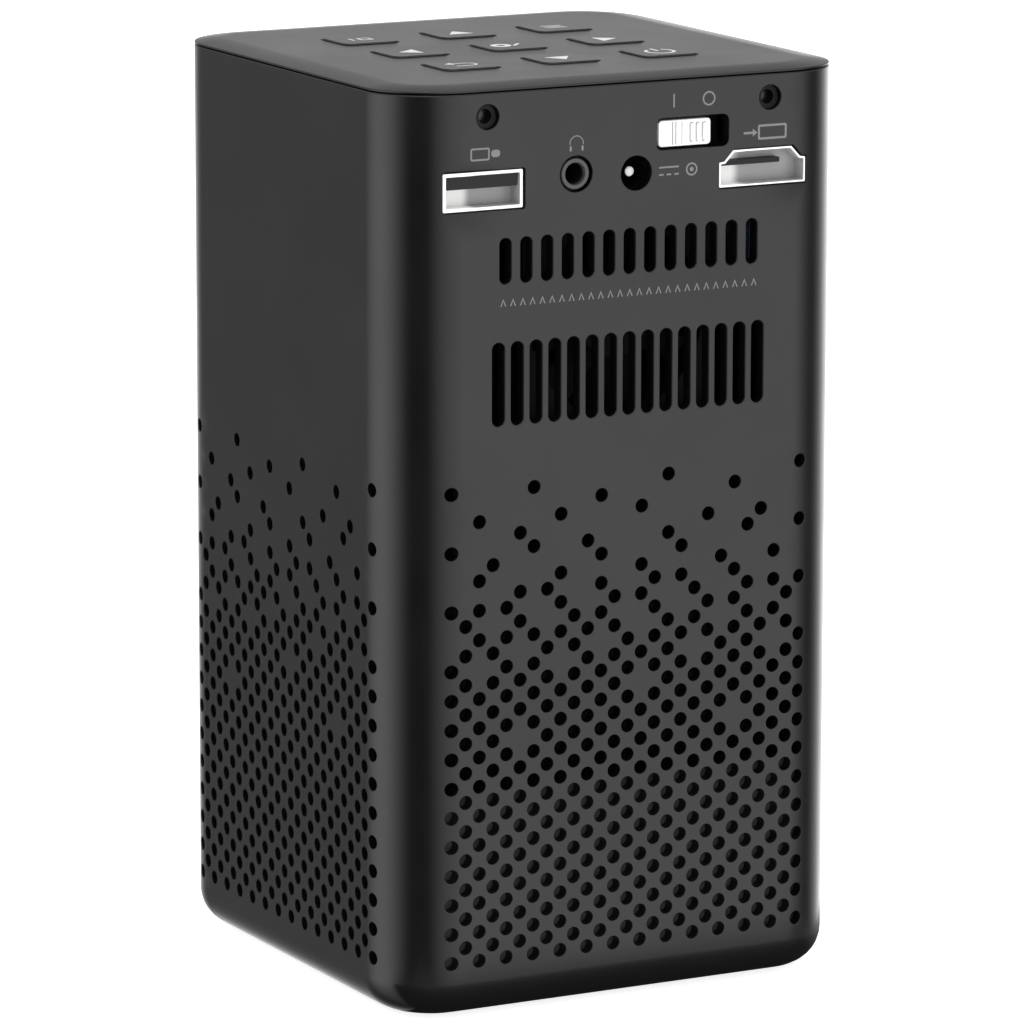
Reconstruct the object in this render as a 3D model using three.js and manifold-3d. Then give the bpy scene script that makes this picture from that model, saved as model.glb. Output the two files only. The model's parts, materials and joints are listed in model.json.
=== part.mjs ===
// A small upright home projector: a square tower with a loudspeaker and battery below, the optics, fan and
// boards above, and a lid with nine keys. Millimetres, +Z up. The lens looks along -Y and the sockets are in
// the +Y wall. The group's origin is the middle of the surface it stands on.
import * as THREE from "three";
import { mergeVertices } from "three/addons/utils/BufferGeometryUtils.js";
import Module from "manifold-3d";

const wasm = await Module();
wasm.setup();

// ---- driving dimensions -------------------------------------------------------------------------------

const CLEARANCE = 0.3; // between pieces that touch on the real machine
const WIDTH = 78; // the tower is square in plan
const HALF = WIDTH / 2;
const CORNER = 11.1; // radius of the four upright edges
const WALL = 2;
const FLOOR = 4.2; // upper face of the lip round the shell's open underside
const BASE_FILLET = 5.7;
const SHELL_TOP = 140.75;
const LID_TOP = 141.7;
const LID_UNDERSIDE = 139.95;
const PAD_PROUD = 0.6; // how far the rubber pad lifts the shell off the table

const INNER_HALF = HALF - WALL;
const INNER_CORNER = CORNER - WALL;

const KEY = { size: 9.6, corner: 1.7, pitchX: 17, pitchY: 16.9, proud: 0.25, travel: 0.4, play: 0.2 };
const BOARD = { bottom: 121.2, top: 122.8 };
const KEY_BOARD = { bottom: 135.7, top: 136.9, bump: 0.5 };
const DECK = { bottom: 86, top: 88 };

const LENS_Z = 104; // height of the optical axis
const WHEEL = { x: -31, y: -18, z: LENS_Z, radius: 7.6, width: 5, roller: 1.5 };
const FAN = { size: 32, front: 27, back: 35, z: 104.6 };
const SPEAKER_Z = 44;

// Rows of upright air slots in the back wall.
const VENTS = [
  { count: 13, reach: 21, width: 1.95, low: 112, high: 118.8 },
  { count: 15, reach: 22.15, width: 2.07, low: 90.6, high: 103.15 },
];

const DATA_PORT = { x: 24.6, z: 126.12, width: 13.4, height: 5.85, wall: 0.65 };
const VIDEO_PORT = {
  x: -22.95,
  low: 123.8,
  shoulder: 127.7,
  high: 129.45,
  wide: 7.5, // half widths below the shoulder and along the top
  narrow: 5.06,
  wall: 0.55,
};
const AUDIO_JACK = { x: 9.15, z: 127.65, collar: 2.75, hole: 1.8 };
const POWER_JACK = { x: -1.04, z: 127.1, hole: 2.6, pin: 0.7 };
const SWITCH = { x0: -16.87, x1: -4.45, z0: 130.26, z1: 135.04, corner: 1, travel: 2.4 };
const LID_SCREW = { x: 24, z: 137.1, head: 1.7, recess: 1.875, shank: 1, seat: HALF - 1.1 };

// ---- solids -------------------------------------------------------------------------------------------

// A closed three.js geometry as a solid that can be joined and cut.
function solid(geometry) {
  const bare = geometry.clone();
  bare.deleteAttribute("normal");
  bare.deleteAttribute("uv");
  const merged = mergeVertices(bare, 1e-4);
  const index = merged.index.array;
  const kept = [];
  for (let i = 0; i < index.length; i += 3) {
    const [a, b, c] = [index[i], index[i + 1], index[i + 2]];
    if (a !== b && b !== c && c !== a) kept.push(a, b, c);
  }
  const mesh = new wasm.Mesh({
    numProp: 3,
    vertProperties: merged.attributes.position.array,
    triVerts: new Uint32Array(kept),
  });
  return new wasm.Manifold(mesh);
}

function geometryOf(manifold) {
  const mesh = manifold.getMesh();
  const geometry = new THREE.BufferGeometry();
  geometry.setAttribute("position", new THREE.BufferAttribute(mesh.vertProperties, 3));
  geometry.setIndex(new THREE.BufferAttribute(mesh.triVerts, 1));
  geometry.computeVertexNormals();
  return geometry;
}

const join = (...solids) => solids.reduce((whole, piece) => whole.add(piece));
const cut = (whole, ...tools) => tools.reduce((rest, tool) => rest.subtract(tool), whole);

// A block between two opposite corners.
function block(x0, x1, y0, y1, z0, z1) {
  const geometry = new THREE.BoxGeometry(x1 - x0, y1 - y0, z1 - z0);
  return solid(geometry.translate((x0 + x1) / 2, (y0 + y1) / 2, (z0 + z1) / 2));
}

// A round bar along Y from y0 to y1.
function barY(x, z, radius, y0, y1, sides = 20) {
  const geometry = new THREE.CylinderGeometry(radius, radius, y1 - y0, sides);
  return solid(geometry.translate(x, (y0 + y1) / 2, z));
}

// A round bar along Z from z0 to z1.
function barZ(x, y, radius, z0, z1, sides = 16) {
  const geometry = new THREE.CylinderGeometry(radius, radius, z1 - z0, sides).rotateX(Math.PI / 2);
  return solid(geometry.translate(x, y, (z0 + z1) / 2));
}

// A closed profile of [radius, distance] points turned about an axis along Y.
function turnedY(profile, x, z, sides = 24) {
  const points = profile.map(([radius, y]) => new THREE.Vector2(radius, y));
  return solid(new THREE.LatheGeometry(points, sides).translate(x, 0, z));
}

function turnedZ(profile, x, y, sides = 24) {
  const points = profile.map(([radius, z]) => new THREE.Vector2(radius, z));
  const geometry = new THREE.LatheGeometry(points, sides).rotateX(Math.PI / 2);
  return solid(geometry.translate(x, y, 0));
}

function roundedOutline(width, depth, radius) {
  const [x, y] = [width / 2, depth / 2];
  const outline = new THREE.Shape();
  outline.moveTo(x - radius, -y);
  outline.absarc(x - radius, radius - y, radius, -Math.PI / 2, 0);
  outline.absarc(x - radius, y - radius, radius, 0, Math.PI / 2);
  outline.absarc(radius - x, y - radius, radius, Math.PI / 2, Math.PI);
  outline.absarc(radius - x, radius - y, radius, Math.PI, 1.5 * Math.PI);
  return outline;
}

// An upright prism with rounded corners. The fillet, if any, rounds both ends.
function prism(width, depth, radius, z0, z1, { fillet = 0, fall = fillet, x = 0, y = 0, sides = 3 } = {}) {
  const geometry = new THREE.ExtrudeGeometry(roundedOutline(width, depth, radius), {
    depth: z1 - z0 - 2 * fall,
    curveSegments: sides,
    bevelEnabled: fillet > 0,
    bevelSize: fillet,
    bevelOffset: -fillet,
    bevelThickness: fall,
    bevelSegments: 3,
  });
  return solid(geometry.translate(x, y, z0 + fall));
}

// A flat outline in X and Z, as [x, z] points, pushed along Y from y0 to y1.
function slabY(points, y0, y1) {
  const outline = new THREE.Shape(points.map(([x, z]) => new THREE.Vector2(x, z)));
  const geometry = new THREE.ExtrudeGeometry(outline, { depth: y1 - y0, bevelEnabled: false });
  return solid(geometry.rotateX(Math.PI / 2).translate(0, y1, 0));
}

// The same for an outline with rounded corners, centred on x and z.
function plateY(x, z, width, height, radius, y0, y1, sides = 4) {
  const geometry = new THREE.ExtrudeGeometry(roundedOutline(width, height, radius), {
    depth: y1 - y0,
    curveSegments: sides,
    bevelEnabled: false,
  });
  return solid(geometry.rotateX(Math.PI / 2).translate(x, y1, z));
}

const spaced = (count, reach) =>
  Array.from({ length: count }, (_, i) => -reach + (2 * reach * i) / (count - 1));

// ---- materials ----------------------------------------------------------------------------------------

function finish(color, roughness, metalness = 0) {
  return new THREE.MeshStandardMaterial({ color, roughness, metalness });
}

const shellPlastic = finish(0x3b3b3c, 0.5);
const lidPlastic = finish(0x404041, 0.45);
const keyPlastic = finish(0x434344, 0.45);
const blackPlastic = finish(0x111112, 0.5);
const greyPlastic = finish(0x55575a, 0.55);
const whitePlastic = finish(0xe6e6e4, 0.4);
const circuitBoard = finish(0x1f5a36, 0.5);
const steel = finish(0xb9bcc0, 0.3, 1);
const blackSteel = finish(0x1c1c1e, 0.35, 1);
const aluminium = finish(0xa8abb0, 0.4, 1);
const brass = finish(0xb08d4a, 0.35, 1);
const copper = finish(0xb2714a, 0.35, 1);
const lensGlass = finish(0x9fb4c8, 0.05);
const rubber = finish(0x18181a, 0.8);
const cellWrap = finish(0x2a6f9e, 0.45);
const paper = finish(0x1d1d1f, 0.9);
const cloth = finish(0x232324, 0.95);
const film = finish(0xb5772e, 0.5);

// ---- the machine, on a group that stands on its rubber pad --------------------------------------------

const projector = new THREE.Group();
const machine = new THREE.Group();
machine.position.z = PAD_PROUD;
projector.add(machine);

function piece(name, material, manifold, position = [0, 0, 0]) {
  const mesh = new THREE.Mesh(geometryOf(manifold), material);
  mesh.name = name;
  mesh.position.set(...position);
  machine.add(mesh);
  return mesh;
}

// ---- shell --------------------------------------------------------------------------------------------

const PAD = { half: 31.5, corner: 8, top: 0.6, hole: 6 };
const PLATE = { bottom: 0.9, top: 2.9 };
const LIP = { half: 25, corner: 4 }; // the opening in the shell's floor that the base plate covers
const TRIPOD = { bore: 3.2, bush: 5, flange: 7, bottom: 0.2, top: 8, hole: 5.3 };
const BASE_SCREW = { shank: 1.2, hole: 1.5, head: 2.2, recess: 2.5, seat: 2, top: 9 };
const BASE_SCREWS = [
  [-28, 5],
  [28, 5],
  [-28, 23],
  [28, 23],
];
const BEZEL = { flange: 16.7, sleeve: 13.7, bore: 12.6, depth: 1.2, front: 0.1 - HALF, under: 0.9 - HALF };
const THUMB_DISH = { radius: 17, depth: 3, blockY: 11, blockZ: 11, block: 3.5 };

function hollowCup() {
  const above = SHELL_TOP + 2 * BASE_FILLET;
  const outside = prism(WIDTH, WIDTH, CORNER, 0, above, { fillet: BASE_FILLET, sides: 4 });
  const trimmed = outside.intersect(block(-HALF, HALF, -HALF, HALF, 0, SHELL_TOP));
  const inside = prism(2 * INNER_HALF, 2 * INNER_HALF, INNER_CORNER, FLOOR, SHELL_TOP + WIDTH, {
    fillet: BASE_FILLET - WALL,
    sides: 4,
  });
  return cut(trimmed, inside);
}

function airSlots() {
  return VENTS.flatMap(({ count, reach, width, low, high }) =>
    spaced(count, reach).map((x) =>
      plateY(x, (low + high) / 2, width, high - low, width / 2, INNER_HALF - 1, HALF + 1, 1),
    ),
  );
}

function videoOutline(grow) {
  const { x, low, shoulder, high, wide, narrow } = VIDEO_PORT;
  return [
    [x - wide - grow, low - grow],
    [x + wide + grow, low - grow],
    [x + wide + grow, shoulder + grow / 2],
    [x + narrow + grow / 2, high + grow],
    [x - narrow - grow / 2, high + grow],
    [x - wide - grow, shoulder + grow / 2],
  ];
}

function socketHoles() {
  const [y0, y1] = [INNER_HALF - 1, HALF + 1];
  const wide = DATA_PORT.width / 2 + CLEARANCE;
  const tall = DATA_PORT.height / 2 + CLEARANCE;
  const middle = (SWITCH.x0 + SWITCH.x1) / 2;
  return [
    block(DATA_PORT.x - wide, DATA_PORT.x + wide, y0, y1, DATA_PORT.z - tall, DATA_PORT.z + tall),
    slabY(videoOutline(CLEARANCE), y0, y1),
    barY(AUDIO_JACK.x, AUDIO_JACK.z, AUDIO_JACK.collar + CLEARANCE, y0, y1),
    barY(POWER_JACK.x, POWER_JACK.z, POWER_JACK.hole, y0, y1),
    plateY(
      middle,
      (SWITCH.z0 + SWITCH.z1) / 2,
      SWITCH.x1 - SWITCH.x0,
      SWITCH.z1 - SWITCH.z0,
      SWITCH.corner,
      y0,
      y1,
    ),
  ];
}

function lidScrewHoles() {
  const { seat } = LID_SCREW;
  return [-LID_SCREW.x, LID_SCREW.x].flatMap((x) => [
    barY(x, LID_SCREW.z, LID_SCREW.shank + CLEARANCE, INNER_HALF - 1, HALF + 1, 12),
    barY(x, LID_SCREW.z, LID_SCREW.recess, seat, HALF + 1, 16),
  ]);
}

// A shallow bowl for the thumb, with the focus wheel's rim in the slot at its middle.
function thumbDishTools() {
  const { radius, depth } = THUMB_DISH;
  const bowl = new THREE.SphereGeometry(radius, 24, 16).translate(depth - HALF - radius, WHEEL.y, WHEEL.z);
  const reach = WHEEL.radius + 0.9;
  const tall = WHEEL.width / 2 + 0.4;
  const inner = THUMB_DISH.block - INNER_HALF + 1;
  return [
    solid(bowl),
    block(-HALF - 1, inner, WHEEL.y - reach, WHEEL.y + reach, WHEEL.z - tall, WHEEL.z + tall),
  ];
}

function bodyShell() {
  const { blockY, blockZ, block: deep } = THUMB_DISH;
  const backing = block(
    -INNER_HALF - 0.5,
    deep - INNER_HALF,
    WHEEL.y - blockY,
    WHEEL.y + blockY,
    WHEEL.z - blockZ,
    WHEEL.z + blockZ,
  );
  const screwHoles = BASE_SCREWS.map(([x, y]) => barZ(x, y, BASE_SCREW.hole, -1, FLOOR + 1, 12));
  const recess = 2 * (PAD.half + CLEARANCE);
  return cut(
    join(hollowCup(), backing),
    ...airSlots(),
    ...socketHoles(),
    ...lidScrewHoles(),
    ...thumbDishTools(),
    ...screwHoles,
    barY(0, LENS_Z, BEZEL.flange + CLEARANCE, -HALF - 1, BEZEL.depth - HALF, 32),
    barY(0, LENS_Z, BEZEL.sleeve + CLEARANCE, -HALF - 1, 1 - INNER_HALF, 24),
    prism(recess, recess, PAD.corner + CLEARANCE, -1, PLATE.top + CLEARANCE),
    prism(2 * LIP.half, 2 * LIP.half, LIP.corner, -1, FLOOR + 1),
  );
}

// The cover that carries the battery holder and closes the underside, above the rubber pad.
function basePlate() {
  const plate = prism(2 * PAD.half, 2 * PAD.half, PAD.corner, PLATE.bottom, PLATE.top);
  const screwHoles = BASE_SCREWS.flatMap(([x, y]) => [
    barZ(x, y, BASE_SCREW.hole, 0, FLOOR, 12),
    barZ(x, y, BASE_SCREW.recess, 0, BASE_SCREW.seat, 12),
  ]);
  return cut(plate, ...screwHoles, barZ(0, 0, TRIPOD.hole, 0, FLOOR, 20));
}

function basePad() {
  const pad = prism(2 * PAD.half, 2 * PAD.half, PAD.corner, -PAD_PROUD, PAD.top);
  return cut(pad, barZ(0, 0, PAD.hole, -1, 1, 20));
}

// A tapped brass bush for a camera tripod, its bore at the screw's outer diameter.
function tripodInsert() {
  const { bore, bush, flange, bottom, top } = TRIPOD;
  const seat = PLATE.top + CLEARANCE;
  const rim = seat + 1.4;
  return turnedZ(
    [
      [bore, bottom],
      [bush, bottom],
      [bush, seat],
      [flange, seat],
      [flange, rim],
      [bush, rim],
      [bush, top],
      [bore, top],
      [bore, bottom],
    ],
    0,
    0,
    20,
  );
}

function baseScrew(x, y) {
  const { shank, head, seat, top } = BASE_SCREW;
  const under = seat - 0.1;
  return join(barZ(x, y, head, under - 0.8, under, 12), barZ(x, y, shank, under - 0.4, top, 12));
}

piece("body_shell", shellPlastic, bodyShell());
piece("base_plate", blackPlastic, basePlate());
piece("base_pad", rubber, basePad());
piece("tripod_insert", brass, tripodInsert());
BASE_SCREWS.forEach(([x, y], i) => piece(`base_screw_${i + 1}`, steel, baseScrew(x, y)));

// ---- lid and keys -------------------------------------------------------------------------------------

const SKIRT = { outer: INNER_HALF - 0.4, thickness: 2, bottom: 132, notch: 136.2 };
const LID_EDGE = { run: 5, fall: 0.5 }; // how far the lid's border falls, and over what width

const KEYS = [
  ["key_source", 1, -1],
  ["key_up", 0, -1],
  ["key_menu", -1, -1],
  ["key_left", 1, 0],
  ["key_select", 0, 0],
  ["key_right", -1, 0],
  ["key_return", 1, 1],
  ["key_down", 0, 1],
  ["key_power", -1, 1],
].map(([name, column, row]) => ({ name, x: column * KEY.pitchX, y: row * KEY.pitchY }));

function topCap() {
  const rim = SHELL_TOP + CLEARANCE;
  const crown = { fillet: LID_EDGE.run, fall: LID_EDGE.fall, sides: 4 };
  const crowned = prism(WIDTH, WIDTH, CORNER, rim - 2 * LID_EDGE.fall, LID_TOP, crown);
  const plate = crowned.intersect(block(-HALF, HALF, -HALF, HALF, rim, LID_TOP + 1));
  const outer = 2 * SKIRT.outer;
  const inner = outer - 2 * SKIRT.thickness;
  const corner = INNER_CORNER - 0.4;
  const body = prism(outer, outer, corner, SKIRT.bottom, rim + 0.1);
  const room = prism(inner, inner, corner - SKIRT.thickness, SKIRT.bottom - 1, LID_UNDERSIDE);
  const opening = KEY.size + 2 * KEY.play;
  const keyHoles = KEYS.map(({ x, y }) =>
    prism(opening, opening, KEY.corner + KEY.play, LID_UNDERSIDE - 1, LID_TOP + 1, { x, y, sides: 2 }),
  );
  const pilots = [-LID_SCREW.x, LID_SCREW.x].map((x) =>
    barY(x, LID_SCREW.z, LID_SCREW.shank + CLEARANCE, inner / 2 - 1, HALF, 12),
  );
  const switchNotch = block(SWITCH.x0 - 2, SWITCH.x1 + 2, inner / 2 - 2, HALF, SKIRT.bottom - 1, SKIRT.notch);
  return cut(join(plate, cut(body, room)), ...keyHoles, ...pilots, switchNotch);
}

// A key: a square cap with a flange under the lid that stops it, and a stem over its switch.
function key() {
  const flange = { size: 11.4, bottom: 138.9, top: 139.6 };
  const stem = { half: 2.5, bottom: KEY_BOARD.top + KEY_BOARD.bump + KEY.travel + 0.2 };
  return join(
    prism(KEY.size, KEY.size, KEY.corner, flange.bottom, LID_TOP + KEY.proud, { sides: 2 }),
    prism(flange.size, flange.size, KEY.corner, flange.bottom, flange.top, { sides: 1 }),
    block(-stem.half, stem.half, -stem.half, stem.half, stem.bottom, flange.bottom + 0.1),
  );
}

// The keys' circuit board, with a small push switch under each key.
function keyBoard() {
  const board = prism(66, 66, 6, KEY_BOARD.bottom, KEY_BOARD.top, { sides: 3 });
  const switches = KEYS.map(({ x, y }) =>
    block(x - 2, x + 2, y - 2, y + 2, KEY_BOARD.top - 0.1, KEY_BOARD.top + KEY_BOARD.bump),
  );
  return join(board, ...switches);
}

function lidScrew(x) {
  const { seat } = LID_SCREW;
  const head = barY(x, LID_SCREW.z, LID_SCREW.head, seat + 0.1, HALF - 0.3, 16);
  const crossHalf = 0.25;
  const crossLong = 1.1;
  const crossY = HALF - 0.7;
  return cut(
    join(head, barY(x, LID_SCREW.z, LID_SCREW.shank, 33.5, seat + 0.3, 12)),
    block(x - crossLong, x + crossLong, crossY, HALF, LID_SCREW.z - crossHalf, LID_SCREW.z + crossHalf),
    block(x - crossHalf, x + crossHalf, crossY, HALF, LID_SCREW.z - crossLong, LID_SCREW.z + crossLong),
  );
}

piece("top_cap", lidPlastic, topCap());
KEYS.forEach(({ name, x, y }) => piece(name, keyPlastic, key(), [x, y, 0]));
piece("key_board", circuitBoard, keyBoard());
piece("lid_screw_left", blackSteel, lidScrew(LID_SCREW.x));
piece("lid_screw_right", blackSteel, lidScrew(-LID_SCREW.x));

// ---- main board and sockets ---------------------------------------------------------------------------

const POSTS = [
  { x: -33.6, y: 26, radius: 1.9 },
  { x: 33.6, y: 26, radius: 1.9 },
  { x: -32, y: -31.5, radius: 1.9 },
  { x: 32, y: -31.5, radius: 1.9 },
];
const SOCKET_FACE = HALF - 0.3;
const ON_BOARD = BOARD.top + CLEARANCE;

function mainBoard() {
  const board = prism(71, 71, 8, BOARD.bottom, BOARD.top, { sides: 4 });
  const chip = block(-8, 8, -8, 8, BOARD.top - 0.1, BOARD.top + 1.4);
  const memory = block(14, 24, -6, 4, BOARD.top - 0.1, BOARD.top + 1.1);
  const holes = POSTS.map(({ x, y }) => barZ(x, y, 1.1, BOARD.bottom - 1, BOARD.top + 1, 12));
  return cut(join(board, chip, memory), ...holes);
}

function boardScrew() {
  const length = 7;
  return join(
    barZ(0, 0, 1.8, ON_BOARD, ON_BOARD + 1.2, 12),
    barZ(0, 0, 0.8, ON_BOARD - length, ON_BOARD + 0.2, 12),
  );
}

function dataPort() {
  const { x, z, width, height, wall } = DATA_PORT;
  const back = 25;
  const shell = block(x - width / 2, x + width / 2, back, SOCKET_FACE, z - height / 2, z + height / 2);
  const mouth = block(
    x - width / 2 + wall,
    x + width / 2 - wall,
    back + wall,
    HALF + 1,
    z - height / 2 + wall,
    z + height / 2 - wall,
  );
  return cut(shell, mouth);
}

function dataTongue() {
  const { x, z } = DATA_PORT;
  return block(x - 5.3, x + 5.3, 26, SOCKET_FACE - 1, z + 0.15, z + 1.95);
}

function videoPort() {
  const wall = VIDEO_PORT.wall;
  const back = 27;
  return cut(slabY(videoOutline(0), back, SOCKET_FACE), slabY(videoOutline(-wall), back + wall, HALF + 1));
}

function videoTongue() {
  const { x } = VIDEO_PORT;
  return block(x - 5.3, x + 5.3, 27.9, SOCKET_FACE - 1, 125.9, 127.1);
}

function audioJack() {
  const { x, z, collar, hole } = AUDIO_JACK;
  const body = block(x - 3.2, x + 3.2, 26, 36.5, ON_BOARD, z + 3.2);
  return cut(join(body, barY(x, z, collar, 36, SOCKET_FACE)), barY(x, z, hole, 28, HALF, 20));
}

function powerJack() {
  const { x, z, hole } = POWER_JACK;
  const body = block(x - 3.9, x + 3.9, 26, INNER_HALF - 0.4, ON_BOARD, z + 3.6);
  return cut(body, barY(x, z, hole + 0.1, 28, HALF));
}

function powerPin() {
  return barY(POWER_JACK.x, POWER_JACK.z, POWER_JACK.pin, 28.3, 36.4, 12);
}

piece("main_board", circuitBoard, mainBoard());
POSTS.forEach(({ x, y }, i) => piece(`board_screw_${i + 1}`, steel, boardScrew(), [x, y, 0]));
piece("data_port", steel, dataPort());
piece("data_port_tongue", blackPlastic, dataTongue());
piece("video_port", steel, videoPort());
piece("video_port_tongue", blackPlastic, videoTongue());
piece("audio_jack", greyPlastic, audioJack());
piece("power_jack", blackPlastic, powerJack());
piece("power_jack_pin", steel, powerPin());

// ---- power switch -------------------------------------------------------------------------------------

const KNOB = { x0: -13.91, x1: -4.97, z0: 130.65, z1: 134.66, back: 34.5, face: 38.4, ridge: 0.4 };

function switchBody() {
  const body = block(-17.7, -5.5, 28, 34.1, 129.8, 135.4);
  const track = block(-16.5, -6.2, 31, 35, 131.6, 133.7);
  return cut(body, track);
}

function switchKnob() {
  const { x0, x1, z0, z1, back, face, ridge } = KNOB;
  const stem = block(-10.4, -8.4, 31.5, back + 0.2, 132, 133.3);
  const ridges = [0, 1, 2].map((i) => {
    const x = x0 + 1.5 + 1.6 * i;
    return block(x - 0.3, x + 0.3, face - 0.1, face + ridge, z0 + 0.4, z1 - 0.4);
  });
  return join(block(x0, x1, back, face, z0, z1), stem, ...ridges);
}

piece("switch_body", blackPlastic, switchBody());
piece("switch_knob", whitePlastic, switchKnob());

// ---- optics -------------------------------------------------------------------------------------------

const BARREL = { radius: 11, front: -32.6, back: -13, seat: 10, stop: 7.5, ledge: -26.3 };
const WINDOW = { front: -37.6, back: -35.8, seat: -35.5, rear: -34.5, lip: 1.2 };
const FRONT_LENS = { radius: 9.7, bulge: 2.4, front: -31.9, back: -26.6 };
const ARM = { front: -30, back: -26.8, inner: -9, low: LENS_Z + 3.6, high: LENS_Z + 6.6, thickness: 3 };
const ENGINE = { half: 19, front: -10, back: 8, low: 89, high: 119, tube: 13, mouth: -24 };

// A black ring set into the front wall, with a seat for the window.
function lensBezel() {
  const { flange, sleeve, bore, front, under } = BEZEL;
  const { seat, rear, lip } = WINDOW;
  return turnedY(
    [
      [bore, front],
      [flange, front],
      [flange, under],
      [sleeve, under],
      [sleeve, rear],
      [bore - lip, rear],
      [bore - lip, seat],
      [bore, seat],
      [bore, front],
    ],
    0,
    LENS_Z,
  );
}

function disc(radius, y0, y1) {
  return turnedY(
    [
      [0, y0],
      [radius, y0],
      [radius, y1],
      [0, y1],
    ],
    0,
    LENS_Z,
  );
}

// A lens with a convex front.
function frontLens() {
  const { radius, bulge, front, back } = FRONT_LENS;
  const steps = 4;
  const sphere = (radius * radius + bulge * bulge) / (2 * bulge);
  const profile = Array.from({ length: steps + 1 }, (_, i) => {
    const r = (radius * i) / steps;
    return [r, front + sphere - Math.sqrt(sphere * sphere - r * r)];
  });
  return turnedY([...profile, [radius, back], [0, back]], 0, LENS_Z);
}

// The moving barrel, with an arm that reaches across to the focus wheel's roller.
function lensBarrel() {
  const { radius, front, back, seat, stop, ledge } = BARREL;
  const tube = turnedY(
    [
      [seat, front],
      [radius, front],
      [radius, back],
      [stop, back],
      [stop, ledge],
      [seat, ledge],
      [seat, front],
    ],
    0,
    LENS_Z,
  );
  const face = WHEEL.x + WHEEL.roller + CLEARANCE;
  const lug = block(face, ARM.inner, ARM.front, ARM.back, ARM.low, ARM.high);
  const strip = block(face, face + ARM.thickness, ARM.front, WHEEL.y + 4, ARM.low, ARM.high);
  return join(cut(lug, barY(0, LENS_Z, seat + 0.4, -HALF, 0, 24)), strip, tube);
}

function lightEngine() {
  const { half, front, back, low, high, tube, mouth } = ENGINE;
  const body = block(-half, half, front, back, low, high);
  const barrelBore = barY(0, LENS_Z, BARREL.radius + CLEARANCE, mouth - 1, front - 1, 24);
  const lightPath = barY(0, LENS_Z, 6, front - 2, 3);
  return cut(join(body, barY(0, LENS_Z, tube, mouth, front + 1, 24)), barrelBore, lightPath);
}

// The thumb wheel: a ribbed rim, and a roller above it that drives the barrel's arm.
function focusWheel() {
  const ribs = 24;
  const depth = 0.35;
  const outline = new THREE.Shape(
    Array.from({ length: 2 * ribs }, (_, i) => {
      const radius = WHEEL.radius - (i % 2 ? depth : 0);
      const angle = (Math.PI * i) / ribs;
      return new THREE.Vector2(radius * Math.cos(angle), radius * Math.sin(angle));
    }),
  );
  const rim = new THREE.ExtrudeGeometry(outline, { depth: WHEEL.width, bevelEnabled: false });
  const low = WHEEL.z - WHEEL.width / 2;
  const wheel = solid(rim.translate(0, 0, low));
  const roller = barZ(0, 0, WHEEL.roller, low + 1, LENS_Z + 7, 16);
  return cut(join(wheel, roller), barZ(0, 0, 1.2, low - 1, LENS_Z + 8, 12));
}

function focusAxle() {
  const foot = DECK.top + 2;
  const top = LENS_Z + 7 + CLEARANCE;
  return join(barZ(0, 0, 0.9, foot, top + 0.2, 12), barZ(0, 0, 1.4, top, top + 0.8, 12));
}

piece("lens_bezel", blackPlastic, lensBezel());
piece("lens_window", lensGlass, disc(BEZEL.bore - CLEARANCE, WINDOW.front, WINDOW.back));
piece("lens_barrel", blackPlastic, lensBarrel());
piece("front_lens", lensGlass, frontLens());
piece("light_engine", aluminium, lightEngine());
piece("focus_wheel", rubber, focusWheel(), [WHEEL.x, WHEEL.y, 0]);
piece("focus_axle", steel, focusAxle(), [WHEEL.x, WHEEL.y, 0]);

// ---- cooling ------------------------------------------------------------------------------------------

const SINK = { half: 19, front: 10, plate: 13, back: 26.4, low: 90, high: 118, fins: 11, fin: 0.55 };
const LED = { half: 7, front: 8.3, back: 9.7 };
const HUB = { mount: 5.5, radius: 6, blades: 7, blade: [8.4, 0.8, 5], at: 9.6, pitch: (40 * Math.PI) / 180 };

function heatSink() {
  const { half, front, plate, back, low, high, fin } = SINK;
  const fins = spaced(SINK.fins, half - fin).map((x) =>
    block(x - fin, x + fin, plate - 0.5, back, low, high),
  );
  return join(block(-half, half, front, plate, low, high), ...fins);
}

function fanFrame() {
  const { size, front, back, z } = FAN;
  const frame = block(-size / 2, size / 2, front, back, z - size / 2, z + size / 2);
  const tunnel = barY(0, z, size / 2 - 1.2, front - 1, back + 1, 24);
  const mount = barY(0, z, HUB.mount, front, front + 1.2, 20);
  const spokes = [0, 1, 2].map((i) => {
    const bar = new THREE.BoxGeometry(size / 2 - 2, 1.2, 1.6).translate(size / 4 + 0.6, 0, 0);
    return solid(bar.rotateY((i * 2 * Math.PI) / 3 + Math.PI / 6).translate(0, front + 0.6, z));
  });
  return join(cut(frame, tunnel), mount, ...spokes);
}

function fanRotor() {
  const hub = barY(0, 0, HUB.radius, FAN.front + 1.8, FAN.back - 0.8, 20);
  const middle = (FAN.front + FAN.back) / 2 + 0.5;
  const blades = Array.from({ length: HUB.blades }, (_, i) => {
    const plate = new THREE.BoxGeometry(...HUB.blade).rotateX(HUB.pitch);
    plate.translate(HUB.at, 0, 0).rotateY((i * 2 * Math.PI) / HUB.blades);
    return solid(plate.translate(0, middle, 0));
  });
  return join(hub, ...blades);
}

const ledModule = block(-LED.half, LED.half, LED.front, LED.back, LENS_Z - LED.half, LENS_Z + LED.half);
piece("led_module", copper, ledModule);
piece("heat_sink", aluminium, heatSink());
piece("fan_frame", blackPlastic, fanFrame());
piece("fan_rotor", blackPlastic, fanRotor(), [0, 0, FAN.z]);

// ---- inner frame --------------------------------------------------------------------------------------

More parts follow.
